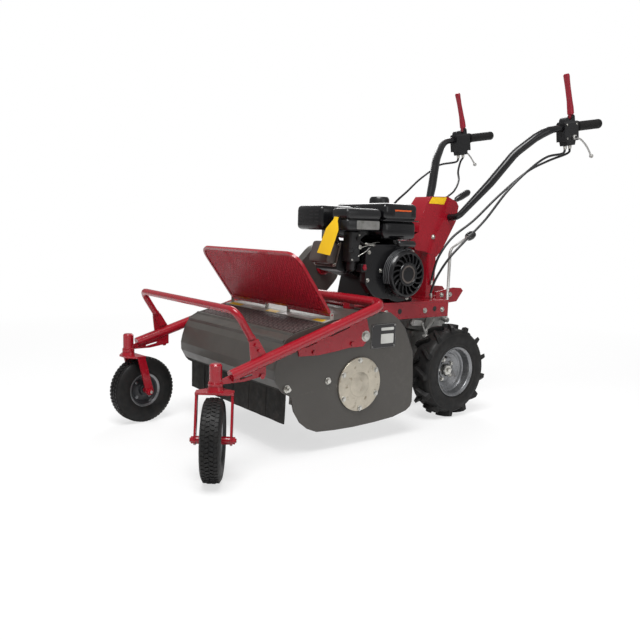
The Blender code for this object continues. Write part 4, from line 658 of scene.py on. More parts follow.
def drive_rim(name, side):
    """Dished steel rim with a stepped well, the hub nut, wheel bolts, valve and stub axle."""
    place = outwards(side, TRACK_HALF, 0, WHEEL_R)
    body = "wheel_" + name
    lip = [(RIM_SEAT - 0.0045, 0.033), (RIM_FLANGE - 0.0022, 0.0402), (RIM_FLANGE - 0.0002, 0.0388),
           (RIM_SEAT, 0.0338)]
    face = [(0, -0.012), (0.044, -0.012), (0.0475, -0.009), (0.056, -0.005), (0.06, -0.0035), (0.064, 0.001),
            (0.074, 0.0026), (RIM_SEAT - 0.005, 0.005)]
    back = [(RIM_SEAT - 0.0045, -0.006), (0.058, -0.008), (0.045, -0.0165), (0.032, -0.02), (0.0125, -0.02),
            (0.0125, -0.08), (0, -0.08)]
    bm = bmesh.new()
    lathe(bm, rounded(face + mirrored(lip) + back, 0.0022, 3), place, 88)
    collar = [(0.024, -0.0122), (0.024, -0.008), (0.03, -0.008), (0.03, -0.0122)]
    lathe(bm, rounded(collar, 0.001, 3), place, 60)
    piece("rim_%s_steel" % name, bm, "rim", body, ("rim_" + name,), angle=30)
    ring = arc(0.036, 0.57, 2 * pi / 5, 5, 0, WHEEL_R)
    spots = facing((side,), TRACK_HALF - 0.0125, ((0, WHEEL_R),), 0.0213, 0.0195)
    spots += facing((side,), TRACK_HALF + 0.007, ((0, WHEEL_R),), 0.0086, 0.0062)
    spots += facing((side,), TRACK_HALF - 0.0118, ring, 0.0066, 0.0052, 0.0088)
    bolts("wheel_bolts_" + name, spots, body, bevel=0.0004)
    bm = bmesh.new()
    foot, tip = place(*polar(0.069, 2.2), 0.002), place(*polar(0.066, 2.2), 0.03)
    tube(bm, [foot] + [foot.lerp(tip, t) for t in (0.3, 0.32, 0.75, 0.77)] + [tip],
         [0.0052, 0.0048, 0.0034, 0.0032, 0.004, 0.004], 20)
    piece("valve_" + name, bm, "grip", body)


def caster_wheel(name):
    """Tyre with four rows of tread blocks, and a dark rim with a bright lip and nuts."""
    centre = joint_at("caster_%s_roll" % name) - AXLE
    spin = Vector(JOINTS["caster_%s_roll" % name]["axis"])
    along = Vector((spin.y, -spin.x, 0))
    place = axes_at(centre, along, Z, spin)
    body = "caster_" + name
    floor = CASTER_R - 0.003
    half = [(0.0534, 0.0158), (0.0569, 0.0203), (0.06, 0.0222), (0.07, 0.0266), (0.086, 0.0277),
            (0.098, 0.0264), (floor - 0.002, 0.0222), (floor, 0.017)]
    bm = bmesh.new()
    lathe(bm, mirrored(rounded(half, 0.004)), place, 96)
    wide = 2 * pi / BLOCKS * 0.4
    rows = (-0.0205, -0.0125), (-0.0105, -0.0015), (0.0015, 0.0105), (0.0125, 0.0205)
    for row, (h0, h1) in enumerate(rows):
        top = CASTER_R - 0.0002 - 0.0016 * (row in (0, 3))
        slant = 2.5 if row % 2 else -2.5
        for k in range(BLOCKS):
            middle = 2 * pi * (k + 0.5 * (row % 2)) / BLOCKS
            loft(bm, [ring_of(bm, [place(*polar(r, middle + d * wide * shrink + (h - h0) * slant), h)
                                   for d, h in ((-1, h0), (1, h0), (1, h1), (-1, h1))])
                      for r, shrink in ((floor - 0.0045, 1.0), (top, 0.86))])
    piece("caster_%s_rubber" % name, bm, "tyre", body, ("caster_tyre_" + name,), angle=34)
    front = [(0.0066, 0.0209), (0.0168, 0.0209), (0.0188, 0.008), (0.03, 0.006), (0.04, 0.006),
             (0.044, 0.013), (0.0475, 0.016), (0.052, 0.0168)]
    turned("caster_%s_web" % name, "rim_dark", mirrored(rounded(front, 0.002, 3)), place, 72, body=body,
           replaces=("caster_rim_" + name,), angle=34)
    lips, nuts = bmesh.new(), bmesh.new()
    for way in BOTH:
        lip = [(0.049, 0.0162), (0.0548, 0.0205), (0.0564, 0.02), (0.053, 0.0158)]
        lathe(lips, rounded([(r, way * h) for r, h in lip], 0.001, 3), place, 72)
        for a, b in circle(0.034, 4, pi / 4):
            hex_bolt(lips, axes_at(place(a, b, way * 0.006), along, Z, spin * way), 0.004, 0.003, 0.0056)
        disc(nuts, axes_at(place(0, 0, way * 0.0572), along, Z, spin * way), 0.0052, 0.004, 0.001, 24, cuts=3)
    piece("caster_%s_lip" % name, lips, "rim", body, angle=34)
    piece("caster_%s_bolt" % name, nuts, "zinc", "fork_" + name, angle=34)


# deck

def rotor_cover():
    """Machined bearing cover with a raised rim, a domed middle and bolts."""
    low, high = node_box("rotor_cover")
    inner = low.x
    face = high.x - 0.011
    outer = (high.z - low.z) / 2
    back = [(0, 0.02), (0.0128, 0.02), (0.0128, 0), (0.024, 0), (0.036, 0.012), (0.036, 0.02),
            (0.0158, 0.0202)]
    front = [(0.0158, 0), (outer - 0.001, 0), (outer, 0.0012), (outer, 0.0048), (outer - 0.0012, 0.006),
             (0.04, 0.006), (0.0385, 0.0052), (0.037, 0.006), (0.03, 0.008), (0.016, 0.0102), (0, 0.0108)]
    profile = [(r, inner + w) for r, w in back] + [(r, face + w) for r, w in front]
    turned("rotor_cover_disc", "cover", rounded(profile, 0.001, 3), across(0, ROTOR.y, ROTOR.z), 110,
           replaces=("rotor_cover",), angle=30)
    ring = arc(outer - 0.0088, 0.56, pi / 3, 6, ROTOR.y, ROTOR.z)
    bolts("rotor_cover_bolts", facing((1,), face + 0.0058, ring, 0.0062, 0.0038, 0.0086))


HOOD_TOP = (-0.77, 0.36), (-0.629, 0.393), (-0.5, 0.4052), (-0.4, 0.4052)


def on_hood(y0, y1, lift, thick):
    """Outline of a thin strip over the hood's bent top."""
    low = [(y, between(HOOD_TOP, y) + lift) for y in (y0, y1)]
    return low + [(y, z + thick) for y, z in low[::-1]]


def deck_strips():
    """The dark tread strip ahead of the hinge, and the bands on the hinge strip."""
    tread = rounded(on_hood(-0.757, -0.66, 0.0003, 0.0012), 0.0004, 2, closed=True)
    pressed("tread_band", "tread", tread, -0.272, 0.272)
    bands = (("yellow", -0.262, -0.188), ("white", -0.18, -0.118), ("yellow", -0.03, 0.03),
             ("white", 0.06, 0.2), ("yellow", 0.222, 0.268))
    for k, (material, x0, x1) in enumerate(bands):
        pressed("strip_band_%d" % k, material, on_hood(LID.y - 0.027, LID.y - 0.0085, 0.0029, 0.0004), x0, x1,
                angle=32)


def lid_skins():
    """Pressed skins on both faces of the lid's plate."""
    lean = radians(126.6)
    place = axes_at(LID, X, (0, cos(lean), sin(lean)), (0, -sin(lean), cos(lean)))
    half, top, foot, corner = 0.2685, 0.2165, 0.018, 0.036
    outline = [(-half, foot), (half, foot)]
    for middle, start in ((half - corner, 0), (corner - half, pi / 2)):
        outline += arc(corner, start, radians(15), 7, middle, top - corner)
    for name, w0, w1 in (("outer", 0.0016, 0.0021), ("inner", -0.0021, -0.0016)):
        pressed("lid_skin_" + name, "red_lid_painted_light", outline, w0, w1, place, body="lid", angle=32)


def side_label():
    """Dark label with a pale edge, two blank panels and rivets."""
    x = node_box("side_plate_left")[1].x - 0.005
    y0, y1, z0, z1 = -0.476, -0.373, 0.297, 0.373
    for name, material, bounds, proud in (
            ("label_plate", "dark_print", (y0, y1, z0, z1), 0.0009),
            ("label_panel_a", "white", (y0 + 0.04, y1 - 0.01, z1 - 0.021, z1 - 0.012), 0.0012),
            ("label_panel_b", "white", (y0 + 0.04, y1 - 0.01, z0 + 0.014, z0 + 0.044), 0.0012)):
        pressed(name, material, soft_box(*bounds), x, x + proud, angle=32)
    bm = bmesh.new()
    loop = [(x + 0.0009, a, b) for a, b in soft_box(y0 + 0.0015, y1 - 0.0015, z0 + 0.0015, z1 - 0.0015)]
    tube(bm, loop + [loop[0]], 0.0005, 8)
    for a in (y0 + 0.006, y1 - 0.006):
        for b in (z0 + 0.006, z1 - 0.006):
            lathe(bm, [(0, 0.0022), (0.0012, 0.002), (0.0022, 0.001), (0.0024, 0)],
                  across(x + 0.0006, a, b), 16)
    piece("label_edge", bm, "alloy", angle=50)


def curtain():
    """Rubber strips on a hub round the rod, each a little bowed, with a thinner lower edge."""
    low, high = node_box("curtain")
    half = (high.x - low.x) / 2
    drop = CURTAIN.z - low.z
    strips, gap, rows, columns = 6, 0.0024, 16, 10
    pitch = 2 * half / strips
    rng = random.Random(7)
    bm = bmesh.new()
    lathe(bm, rectangle(0.0054, 0.0113, -half, half), across(0, CURTAIN.y, CURTAIN.z), 32)
    for i in range(strips):
        x0 = -half + pitch * i + gap / 2
        x1 = -half + pitch * (i + 1) - gap / 2
        bow = rng.uniform(-0.0022, 0.0022)
        twist = rng.uniform(-0.0012, 0.0012)
        sheets = []
        for face in (-0.0026, 0.0026):
            sheet = []
            for t in (r / rows for r in range(rows + 1)):
                y = CURTAIN.y + face * (1 if t < 0.93 else 0.86) + bow * t * t
                z = CURTAIN.z - 0.006 - (drop - 0.0062) * t
                sheet.append([(x0 + (x1 - x0) * s, y + twist * t * (2 * s - 1) + 0.0006 * sin(9 * s + i), z)
                              for s in (c / columns for c in range(columns + 1))])
            sheets.append(sheet)
        slab(bm, sheets)
    piece("curtain_strips", bm, "flap", "curtain", ("curtain",), angle=34)


# engine

SHROUD_INNER = 0.0783
SHROUD_FACE = 0.108
RECOIL_FACE = 0.15
RECOIL_R = 0.083
ENGINE_SIDE = 0.0776    # the crankcase's left face


def recoil():
    """Fan shroud and starter cover, with a ribbed flank, slots over the fan and a plain disc."""
    outline = arc(0.1, radians(-118), radians(5), 43, CRANK.y, CRANK.z)
    outline += rounded([(-0.3, 0.6115), (-0.33, 0.6115), (-0.352, 0.59), (-0.352, 0.48), (-0.318, 0.44),
                        (-0.29, 0.428)], 0.012)
    pressed("fan_shroud", "black", outline, SHROUD_INNER, SHROUD_FACE, replaces=("recoil_cover",),
            bevel=0.0045)
    place = across(0, CRANK.y, CRANK.z)
    x0, x1 = SHROUD_FACE - 0.003, RECOIL_FACE
    bm = bmesh.new()
    wall = [(RECOIL_R, x0), (RECOIL_R, x1 - 0.012), (RECOIL_R - 0.007, x1 - 0.0035), (0.07, x1 - 0.003),
            (0.068, x1 - 0.01), (0.068, x0)]
    disc_edge = [(0, x1 - 0.003), (0.033, x1 - 0.003), (0.0345, x1 - 0.0005), (0.04, x1 - 0.0008),
                 (0.042, x1 - 0.004), (0.042, x1 - 0.012), (0, x1 - 0.012)]
    lathe(bm, rounded(wall, 0.003), place, 96)
    lathe(bm, rounded(disc_edge, 0.0012, 3), place, 80)
    spokes = 18
    for k in range(spokes):
        a = 2 * pi * k / spokes
        spoke = ((0.04, a, 0.06), (0.0555, a + 0.1, 0.05), (0.071, a + 0.26, 0.05))
        prism(bm, [polar(r, b - w) for r, b, w in spoke] + [polar(r, b + w) for r, b, w in spoke[::-1]],
              x1 - 0.0105, x1 - 0.0042, place)
    piece("starter_cover", bm, "black", bevel=0.0006, angle=42)
    bm = bmesh.new()
    for k in range(4):
        tube(bm, [place(a, b, SHROUD_FACE + 0.005 + 0.0082 * k)
                  for a, b in arc(RECOIL_R + 0.0012, radians(78), radians(4), 32)], 0.0016, 8)
    piece("cover_ribs", bm, "ribs", angle=50)
    bm = bmesh.new()
    lathe(bm, rectangle(0, 0.069, x0, x0 + 0.012), place, 48)
    for a, b in circle(0.055, 24):
        blade = [(a * r - b * s, b * r + a * s) for r, s in ((1.2, 0), (0.8, 0), (0.8, 0.05), (1.2, 0.05))]
        prism(bm, blade, x0 + 0.011, x0 + 0.02, place)
    piece("fan_screen", bm, "block")
    ring = rounded(rectangle(0.025, 0.0312, x1 - 0.0031, x1 - 0.0021), 0.0004, 2)
    turned("cover_ring", "valve", ring, place, 72)
    face = SHROUD_FACE - 0.0002
    spots = facing((1,), face, arc(0.0925, 0.93, 2 * pi / 3, 3, CRANK.y, CRANK.z), 0.0052, 0.004, 0.0075)
    spots += facing((1,), face, ((-0.338, 0.585), (-0.34, 0.492)), 0.0048, 0.0036, 0.007)
    bolts("shroud_bolts", spots)
    box_low, box_high = node_box("starter_grip")
    middle = (box_low + box_high) / 2
    turned("rope_guide", "black", rounded(rectangle(0.003, 0.0062, 0.078, 0.0905), 0.0008, 3),
           upright(middle.x, middle.y, CRANK.z), 28)
    pressed("switch_box", "plastic", soft_box(-0.3725, -0.3495, 0.5195, 0.5465), 0.086, 0.1118, bevel=0.0015)


def badges():
    """Bare plates on the air cleaner and the tank."""
    side = node_box("air_cleaner")[1].x - 0.0024
    pressed("cleaner_plate", "alloy", soft_box(-0.405, -0.306, 0.66, 0.688), side - 0.0008, side)
    side = node_box("fuel_tank")[1].x - 0.004
    for name, material, z0, z1 in (("tank_band", "orange", 0.7235, 0.7285),
                                   ("tank_plate", "dark_print", 0.704, 0.7215)):
        pressed(name, material, soft_box(-0.238, -0.16, z0, z1, 0.0015, 2), side - 0.0004, side + 0.0003,
                angle=32)


def engine_details():
    """Filler plug, the case's bolts and bare plate, and the muffler's slots and outlet."""
    plug = [(0, 0), (0.0095, 0), (0.011, 0.004), (0.011, 0.011), (0.008, 0.014), (0, 0.014)]
    turned("filler_plug", "plastic", rounded(plug, 0.0012, 3), across(0.0765, -0.311, 0.459), 26)
    spots = [(upright(x, y, 0.4222), 0.0068, 0.006, 0.009) for x in (-0.078, 0.066) for y in (-0.316, -0.1)]
    spots += facing((1,), ENGINE_SIDE, ((-0.298, 0.45),), 0.006, 0.005, 0.0085)
    spots += facing((1,), ENGINE_SIDE, ((-0.128, 0.58), (-0.14, 0.446)), 0.005, 0.004)
    spots += facing((1,), 0.098, ((-0.404, 0.56), (-0.376, 0.64)), 0.004, 0.003)
    bolts("case_bolts", spots)
    low = node_box("muffler")[0]
    bm = bmesh.new()
    for row in range(5):
        z = 0.672 + 0.0115 * row
        for k in range(4):
            for at, u, way, face in ((low.x + 0.024 + 0.031 * k, X, (0, -1, 0), -low.y),
                                     (low.y + 0.026 + 0.033 * k, Y, (-1, 0, 0), -low.x)):
                prism(bm, soft_box(at - 0.011, at + 0.011, z - 0.0022, z + 0.0022, 0.0018), face - 0.0006,
                      face + 0.0004, axes_at((0, 0, 0), u, Z, way))
    piece("muffler_slots", bm, "block", angle=32)
    bm = bmesh.new()
    route = ((0.004, -0.4, 0.69), (-0.006, -0.4, 0.69), (-0.012, -0.402, 0.684), (-0.014, -0.404, 0.676))
    tube(bm, spline([(low.x + x, y, z) for x, y, z in route], 16), 0.0095, 24)
    piece("exhaust_tip", bm, "steel", angle=50)
    pressed("case_plate", "orange", soft_box(-0.262, -0.222, 0.568, 0.585, 0.002, 2), ENGINE_SIDE, 0.0784,
            angle=32)


def plug_and_linkage():
    """Spark plug with its lead, and the carburettor's wires and spring."""
    bm = bmesh.new()
    plug = towards((0.04, -0.418, 0.612), (0.35, -0.55, 0.75))
    boot = [(0, 0), (0.0085, 0), (0.0085, 0.012), (0.007, 0.014), (0.007, 0.034), (0.005, 0.04), (0, 0.041)]
    lathe(bm, rounded(boot, 0.0015, 3), plug, 28)
    lead = [plug(0, 0, 0.03), plug(0.004, 0, 0.046), (0.066, -0.436, 0.64), (0.074, -0.395, 0.634),
            (0.08, -0.352, 0.618), (0.083, -0.335, 0.604)]
    tube(bm, spline(lead, 40), 0.0034, 12)
    piece("plug_lead", bm, "sheath", angle=50)
    bm = bmesh.new()
    for wire in (((0.104, -0.372, 0.6), (0.106, -0.345, 0.608), (0.1, -0.31, 0.617), (0.094, -0.28, 0.618)),
                 ((0.101, -0.38, 0.572), (0.108, -0.35, 0.59), (0.104, -0.318, 0.612), (0.096, -0.3, 0.616))):
        tube(bm, spline(wire, 24), 0.0011, 8)
    coil, turns = [], 11
    for t in (k / 89 for k in range(90)):
        a, b = polar(0.0035, 2 * pi * turns * t)
        coil.append((0.1105 + a, -0.36 + 0.042 * t, 0.6135 - 0.004 * t + b))
    tube(bm, coil, 0.0006, 6)
    disc(bm, across(0.0985, -0.372, 0.602), 0.007, 0.003, 0.0008, 24)
    piece("linkage", bm, "zinc", angle=50)


def clutch_arm():
    """Clutch arm on the gearbox's left face, with its rod and spring."""
    pivot, eye, boss = (-0.092, 0.3335), (-0.052, 0.329), (-0.028, 0.28)
    rod_x = 0.093
    arm = [(-0.104, 0.333), (-0.098, 0.345), (-0.05, 0.338), (-0.042, 0.328), (-0.05, 0.32), (-0.098, 0.322)]
    bm = bmesh.new()
    prism(bm, rounded(arm, 0.006, 3, closed=True), 0.0845, 0.0885, across())
    disc(bm, across(0.0786, *pivot), 0.0085, 0.006, 0.0008, 28)
    disc(bm, across(0.0786, *boss), 0.006, 0.0165, 0.0008, 28)
    hex_bolt(bm, across(0.0885, *pivot), 0.0066, 0.005, 0.0092)
    hex_bolt(bm, across(0.0951, *boss), 0.005, 0.0036)
    disc(bm, across(0.087, *eye), 0.0036, 0.011, 0.0006, 20)
    tube(bm, [(rod_x, *eye), (rod_x, -0.044, 0.312), (rod_x, *boss)], 0.003, 14)
    foot, top = Vector((rod_x, -0.034, 0.292)), Vector((rod_x, 0.006, 0.3445))
    run = (top - foot).normalized()
    coil = [foot]
    for k in range(181):
        a, b = polar(0.005, radians(24 * k))
        coil.append(foot.lerp(top, 0.06 + 0.9 * k / 180) + Vector((a, run.z * b, -run.y * b)))
    tube(bm, coil + [top, Vector((0.104, 0.01, 0.356))], 0.0011, 6)
    # painted sheen: the near-white colour stands in for light on the plated arm in the shade
    piece("clutch_arm", bm, "bright", angle=50)


def hang_tag():
    """A card with a narrow neck that bows a little."""
    top = Vector((0.07, -0.4525, 0.6985))
    down = Vector((-0.1, -0.31, -0.945)).normalized()
    wide = (Vector(X) - down * down.x).normalized()
    face = wide.cross(down)
    length = 0.128
    half_at = (0, 0.011), (0.012, 0.0125), (0.034, 0.028), (0.044, 0.0335), (length, 0.036)
    rows, columns = 32, 12
    sheets = []
    for lift in (0.0001, 0.0007):
        sheet = []
        for d in (length * r / rows for r in range(rows + 1)):
            row = []
            for s in (2 * c / columns - 1 for c in range(columns + 1)):
                bow = 0.0022 * sin(pi * d / length) * (1 - s * s) + 0.0012 * s * d / length
                row.append(top + wide * (between(half_at, d) * s) + down * d + face * (lift - bow * 0.6))
            sheet.append(row)
        sheets.append(sheet)
    bm = bmesh.new()
    slab(bm, sheets)
    piece("tag_card", bm, "yellow", replaces=("hang_tag",))


def valve_bolts():
    """Bright bolts over the valve cover's flange."""
    tilt = radians(15)
    along = (0, -cos(tilt), sin(tilt))
    up = (0, sin(tilt), cos(tilt))
    on = axes_at(CRANK, X, up, along)
    bolts("valve_bolts", [(axes_at(on(u, v, 0.246), X, up, along), 0.005, 0.0052, 0.007)
                          for u in (-0.0505, 0.0475) for v in (-0.0355, 0.0355)])


# post, handlebar and controls

BAR_START, BAR_END = Vector((0.258, 0.405, 1.043)), Vector((0.258, 0.69, 1.092))
BAR_RUN = (BAR_END - BAR_START).length


def grip_axes(side):
    """The bar's end run on one side: start, direction and the square to it."""
    way = (BAR_END - BAR_START).normalized()
    return Vector((side * BAR_START.x, BAR_START.y, BAR_START.z)), way, Vector(X).cross(way)


def hand_grip(name, side):
    """Rubber grip with a flange, finger ribs and a domed end."""
    start, way, up = grip_axes(side)
    profile = [(0.013, 0.142), (0.0213, 0.142), (0.0213, 0.1465), (0.018, 0.148)]
    w, rib_pitch = 0.152, 0.0064
    while w < BAR_RUN - 0.022:
        profile += [(0.0172, w), (0.0178, w + 0.0012), (0.0178, w + 0.003), (0.0172, w + 0.0042)]
        w += rib_pitch
    end = (0.0172, -0.016), (0.018, -0.013), (0.018, 0.0005), (0.014, 0.0038), (0, 0.005)
    profile += [(r, BAR_RUN + w) for r, w in end]
    turned("grip_%s_rubber" % name, "grip", rounded(profile, 0.001, 2), axes_at(start, X, up, way), 56,
           body="handlebar", replaces=("hand_grip_" + name,), angle=50)


def housing_details(name, side):
    """Clamp screws and cable collars on each control housing."""
    start, way, up = grip_axes(side)
    screw = rounded([(0, 0), (0.004, 0), (0.004, 0.0022), (0.003, 0.003), (0.0018, 0.003), (0.0018, 0.0016),
                     (0, 0.0016)], 0.0004, 2)
    collar = rounded([(0.0046, -0.012), (0.0058, -0.012), (0.0066, -0.002), (0.0066, 0.0015),
                      (0.0046, 0.0015)], 0.0004, 2)
    screws, collars = bmesh.new(), bmesh.new()
    for w in (0.058, 0.118):
        for v in (0.01, -0.04):
            spot = start + up * v + way * w + Vector((side * 0.0186, 0, 0))
            lathe(screws, screw, axes_at(spot, way, up, (side, 0, 0)), 20)
    for w in (0.07, 0.1):
        lathe(collars, collar, axes_at(start + up * -0.0662 + way * w, X, way, up), 24)
    piece("housing_screws_" + name, screws, "zinc", "handlebar")
    piece("cable_collars_" + name, collars, "zinc", "handlebar")


# a housing's two cable outlets: where a cable's first three knots are along the bar, and its first drop
FORE, REAR = (0.07, 0.069, 0.05, 0.026), (0.1, 0.099, 0.082, 0.028)
CABLE_R = 0.0044
# each cable's side, its outlet and the knots after that
CABLES = {
    "cable_left_long": (1, FORE, [
        (0.247, 0.392, 0.942), (0.226, 0.322, 0.892), (0.192, 0.25, 0.812), (0.154, 0.185, 0.708),
        (0.122, 0.12, 0.63), (0.097, 0.062, 0.56), (0.0745, 0.028, 0.49), (0.06, 0.02, 0.438),
        (0.06, 0.02, 0.4126)]),
    "cable_left_short": (1, REAR, [
        (0.236, 0.415, 0.93), (0.205, 0.335, 0.885), (0.162, 0.24, 0.795), (0.118, 0.165, 0.705),
        (0.086, 0.09, 0.64), (0.066, 0.045, 0.57), (0.053, 0.034, 0.51), (0.0428, 0.034, 0.462)]),
    "cable_right_post": (-1, REAR, [
        (-0.24, 0.47, 0.92), (-0.195, 0.425, 0.875), (-0.135, 0.33, 0.825), (-0.092, 0.22, 0.785),
        (-0.066, 0.15, 0.76), (-0.054, 0.138, 0.757), (-0.0406, 0.138, 0.757)]),
    "cable_right_throttle": (-1, FORE, [
        (-0.244, 0.36, 0.94), (-0.205, 0.262, 0.905), (-0.16, 0.15, 0.86), (-0.122, 0.054, 0.812),
        (-0.104, -0.03, 0.76), (-0.097, -0.085, 0.695), (-0.093, -0.092, 0.62), (-0.089, -0.078, 0.545),
        (-0.086, -0.09, 0.518), (-0.085, -0.1045, 0.515)]),
}


def cables():
    """Sheathed cables from the housings, each with a crimped ferrule."""
    bore = CABLE_R + 0.0001
    ferrule = rounded([(bore, -0.02), (0.0054, -0.02), (0.0058, -0.012), (0.0058, -0.0006), (bore, -0.0006)],
                      0.0004, 2)
    low = -0.0666
    for name, (side, (w0, w1, w2, drop), rest) in CABLES.items():
        start, way, up = grip_axes(side)
        knots = [start + up * v + way * w for v, w in ((low, w0), (low - 0.012, w1), (low - drop, w2))]
        knots += [Vector(k) for k in rest]
        path = spline(knots, 150)
        bm = bmesh.new()
        tube(bm, path, CABLE_R, 14)
        ob = piece(name + "_sheath", bm, "sheath", "handlebar", (name,), angle=50)
        ob.parent = None
        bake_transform(ob)
        turned(name + "_ferrule", "zinc", ferrule, towards(path[-1], path[-1] - path[-3]), 24)


def post_details():
    """Blank yellow plate on the post, and the bolts of its foot and cheeks."""
    plate = [(0.004, 0.7605), (0.02, 0.784), (0.098, 0.7862), (0.084, 0.76)]
    pressed("post_plate", "yellow", rounded(plate, 0.003, 3, closed=True), 0.0398, 0.0407, angle=32)
    spots = facing(BOTH, 0.0399, ((0.036, 0.64), (0.118, 0.714)), 0.006, 0.005, 0.0092)
    spots += facing(BOTH, 0.0499, ((0.088, 0.424), (0.135, 0.424)), 0.0062, 0.005, 0.0092)
    spots += [(upright(side * 0.03, 0.05, 0.4188), 0.0056, 0.0048, 0.008) for side in BOTH]
    bolts("post_bolts", spots)


def gear_knob():
    """Black knob over the end of the gear lever."""
    way = Vector((0, 0.092, 0.043)).normalized()
    end = Vector((0.066, 0.196, 0.64)) - way * 0.0045
    profile = [(0, -0.001), (0.0086, -0.001), (0.0158, 0.0095), (0.0172, 0.026), (0.0132, 0.0408),
               (0, 0.0468)]
    turned("gear_knob", "plastic", rounded(profile, 0.004), towards(end, way), 40, body="gear_lever",
           angle=60)


def frame_details():
    """Bolts through the gussets and side plates, and weld beads round the caster heads."""
    spots = facing(BOTH, 0.29, ((-0.502, 0.34),), 0.0122, 0.0062, 0.0168)
    spots += facing(BOTH, 0.2858, ((-0.64, 0.215),), 0.008, 0.006, 0.0105)
    bm = bmesh.new()
    for side in BOTH:
        bead(bm, [(x, y, 0.2528) for x, y in arc(0.0176, 0, 2 * pi / 30, 30, side * 0.288, -1.021)], 0.0017)
    bolts("frame_bolts", spots, bevel=0.0004)
    piece("weld_beads", bm, "red", angle=60)


def bed_details():
    """Bolts along the engine bed's cheeks, and thin dark discs on its plain holes as painted shade for the
    holes' insides.
    """
    cheek = 0.1093
    spots = ((-0.25, 0.378), (-0.06, 0.378), (0.03, 0.378))
    bolts("bed_bolts", facing(BOTH, cheek, spots, 0.0064, 0.005, 0.0098))
    bm = bmesh.new()
    # painted shade: each dark disc stands for the shade inside a hole
    for place, radius in facing(BOTH, cheek, ((-0.185, 0.38), (-0.01, 0.382)), 0.0095):
        lathe(bm, rectangle(0, radius, 0.0006, 0.0002), place, 28)
    piece("bed_hole_painted_shade", bm, "block", angle=32)


def belt_guard_details():
    """Bolts round the belt case and a raised bead along its outer face."""
    outer = -node_box("belt_guard")[0].x - CASE_TRIM
    turn = atan2(CRANK.z - ROTOR.z, CRANK.y - ROTOR.y)
    spots, loop = [], []
    for middle, bolt_r, bead_r, centre in ((CRANK, 0.078, 0.06, turn), (ROTOR, 0.075, 0.058, turn + pi)):
        spots += arc(bolt_r, centre - 1.2, 1.2, 3, middle.y, middle.z)
        loop += [(-outer, a, b) for a, b in arc(bead_r, centre - pi / 2, pi / 18, 19, middle.y, middle.z)]
    bolts("guard_bolts", facing((-1,), outer - 0.0004, spots, 0.0054, 0.0042, 0.008))
    bm = bmesh.new()
    tube(bm, loop + [loop[0]], 0.0016, 10)
    piece("guard_bead", bm, "grey", angle=60)


def gearbox_bolts():
    """Bolts of the gearbox's covers and its filler plug."""
    spots = facing(BOTH, 0.0618, arc(0.052, pi / 2, 2 * pi / 5, 5, 0, WHEEL_R), 0.005, 0.0042)
    bolts("gearbox_bolts", spots + [(axes_at((0.02, 0.0718, 0.21), X, Z, Y), 0.008, 0.006, 0.011)])


# floor, lights and camera

WHITE = (1, 1, 1, 1)
FLOOR = (-30, 30, -30, 30)
FILL, GLOSS = 0.29, 0.08    # strength of the surround as light, and its share of 1 in reflections
LIGHTS = (("key", (1.2, -1.6, 3.9), (0, -0.1, 0.5), 2, 175), ("side", (3.4, 0.6, 1.8), (0, 0, 0.6), 2, 14),
          ("back", (-2.6, 2.2, 2.8), (0, 0, 0.6), 2.4, 85))


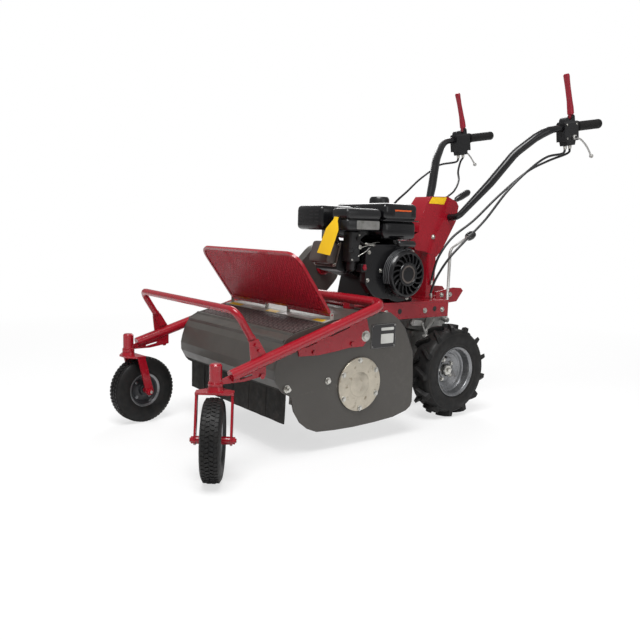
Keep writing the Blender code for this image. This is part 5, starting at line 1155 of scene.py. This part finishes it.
def stage():
    """Pale floor that keeps the shadow, a white surround for the camera and soft boxes."""
    bm = bmesh.new()
    bm.faces.new(ring_of(bm, [(x, y, 0) for x, y in rectangle(*FLOOR)]))
    floor = solid("floor", bm)
    made, tree, shade = new_material("floor")
    feed(shade, {"Base Color": (0.86, 0.86, 0.86, 1), "Roughness": 0.9})
    seen = add(tree, "LightPath").outputs["Is Camera Ray"]
    white = add(tree, "Emission", {"Color": WHITE, "Strength": 1})
    place = add(tree, "NewGeometry").outputs["Position"]
    away = add(tree, "VectorMath", {0: place}, operation="LENGTH").outputs["Value"]
    share = maths("MULTIPLY", seen, span(away, 1, 3.2, 0.66, 1))
    whole = add(tree, "MixShader", {0: share, 1: shade.outputs[0], 2: white.outputs[0]})
    feed(tree.nodes["Material Output"], {"Surface": whole.outputs[0]})
    floor.data.materials.append(made)

    world = bpy.data.worlds.new("studio")
    bpy.context.scene.world = world
    world.use_nodes = True
    tree = world.node_tree
    ray = add(tree, "LightPath").outputs
    seen = maths("MAXIMUM", ray["Is Camera Ray"], maths("MULTIPLY", ray["Is Glossy Ray"], GLOSS))
    feed(tree.nodes["Background"], {"Color": WHITE, "Strength": span(seen, 0, 1, FILL, 1)})

    for name, place, aim, size, energy in LIGHTS:
        data = bpy.data.lights.new(name, "AREA")
        data.shape = "SQUARE"
        data.size = size
        data.energy = energy
        lamp = placed(name, data)
        lamp.location = place
        lamp.rotation_euler = (Vector(place) - Vector(aim)).to_track_quat("Z", "Y").to_euler()


PHOTO = 640             # pixels along each side of the photograph
FOCAL_PX = 702.81
CENTRE_PX = (286.84, 328.36)
SENSOR = 36
CAMERA_AT = Vector((1.8634, -1.9237, 0.6575))
AZIMUTH, PITCH, ROLL = radians(54.394), radians(8.109), radians(1.519)


def camera():
    """The photograph's own camera: place, direction, roll, focal length and centre."""
    back = Vector((sin(AZIMUTH) * cos(PITCH), -cos(AZIMUTH) * cos(PITCH), sin(PITCH)))
    level = Vector((cos(AZIMUTH), sin(AZIMUTH), 0))
    up = back.cross(level)
    right = level * cos(ROLL) + up * sin(ROLL)
    top = up * cos(ROLL) - level * sin(ROLL)
    data = bpy.data.cameras.new("camera")
    data.sensor_width = SENSOR
    data.lens = FOCAL_PX * SENSOR / PHOTO
    data.shift_x = (PHOTO / 2 - CENTRE_PX[0]) / PHOTO
    data.shift_y = (CENTRE_PX[1] - PHOTO / 2) / PHOTO
    data.clip_end = 100
    made = placed("camera", data)
    turn = Matrix((right, top, back)).transposed().to_4x4()
    made.matrix_world = Matrix.Translation(CAMERA_AT + AXLE) @ turn
    bpy.context.scene.camera = made


def main():
    bpy.context.scene.view_settings.view_transform = "Standard"
    camera()
    stage()
    for nodes, *finish in FINISHES:
        for node in nodes.split():
            finished(node, *finish)
    for name, side in (("left", 1), ("right", -1)):
        drive_tyre(name, side)
        drive_rim(name, side)
        caster_wheel(name)
        hand_grip(name, side)
        housing_details(name, side)
    for part in (rotor_cover, deck_strips, lid_skins, side_label, curtain, recoil, badges, plug_and_linkage,
                 engine_details, clutch_arm, hang_tag, valve_bolts, cables, post_details, gear_knob,
                 frame_details, bed_details, belt_guard_details, gearbox_bolts):
        part()


main()
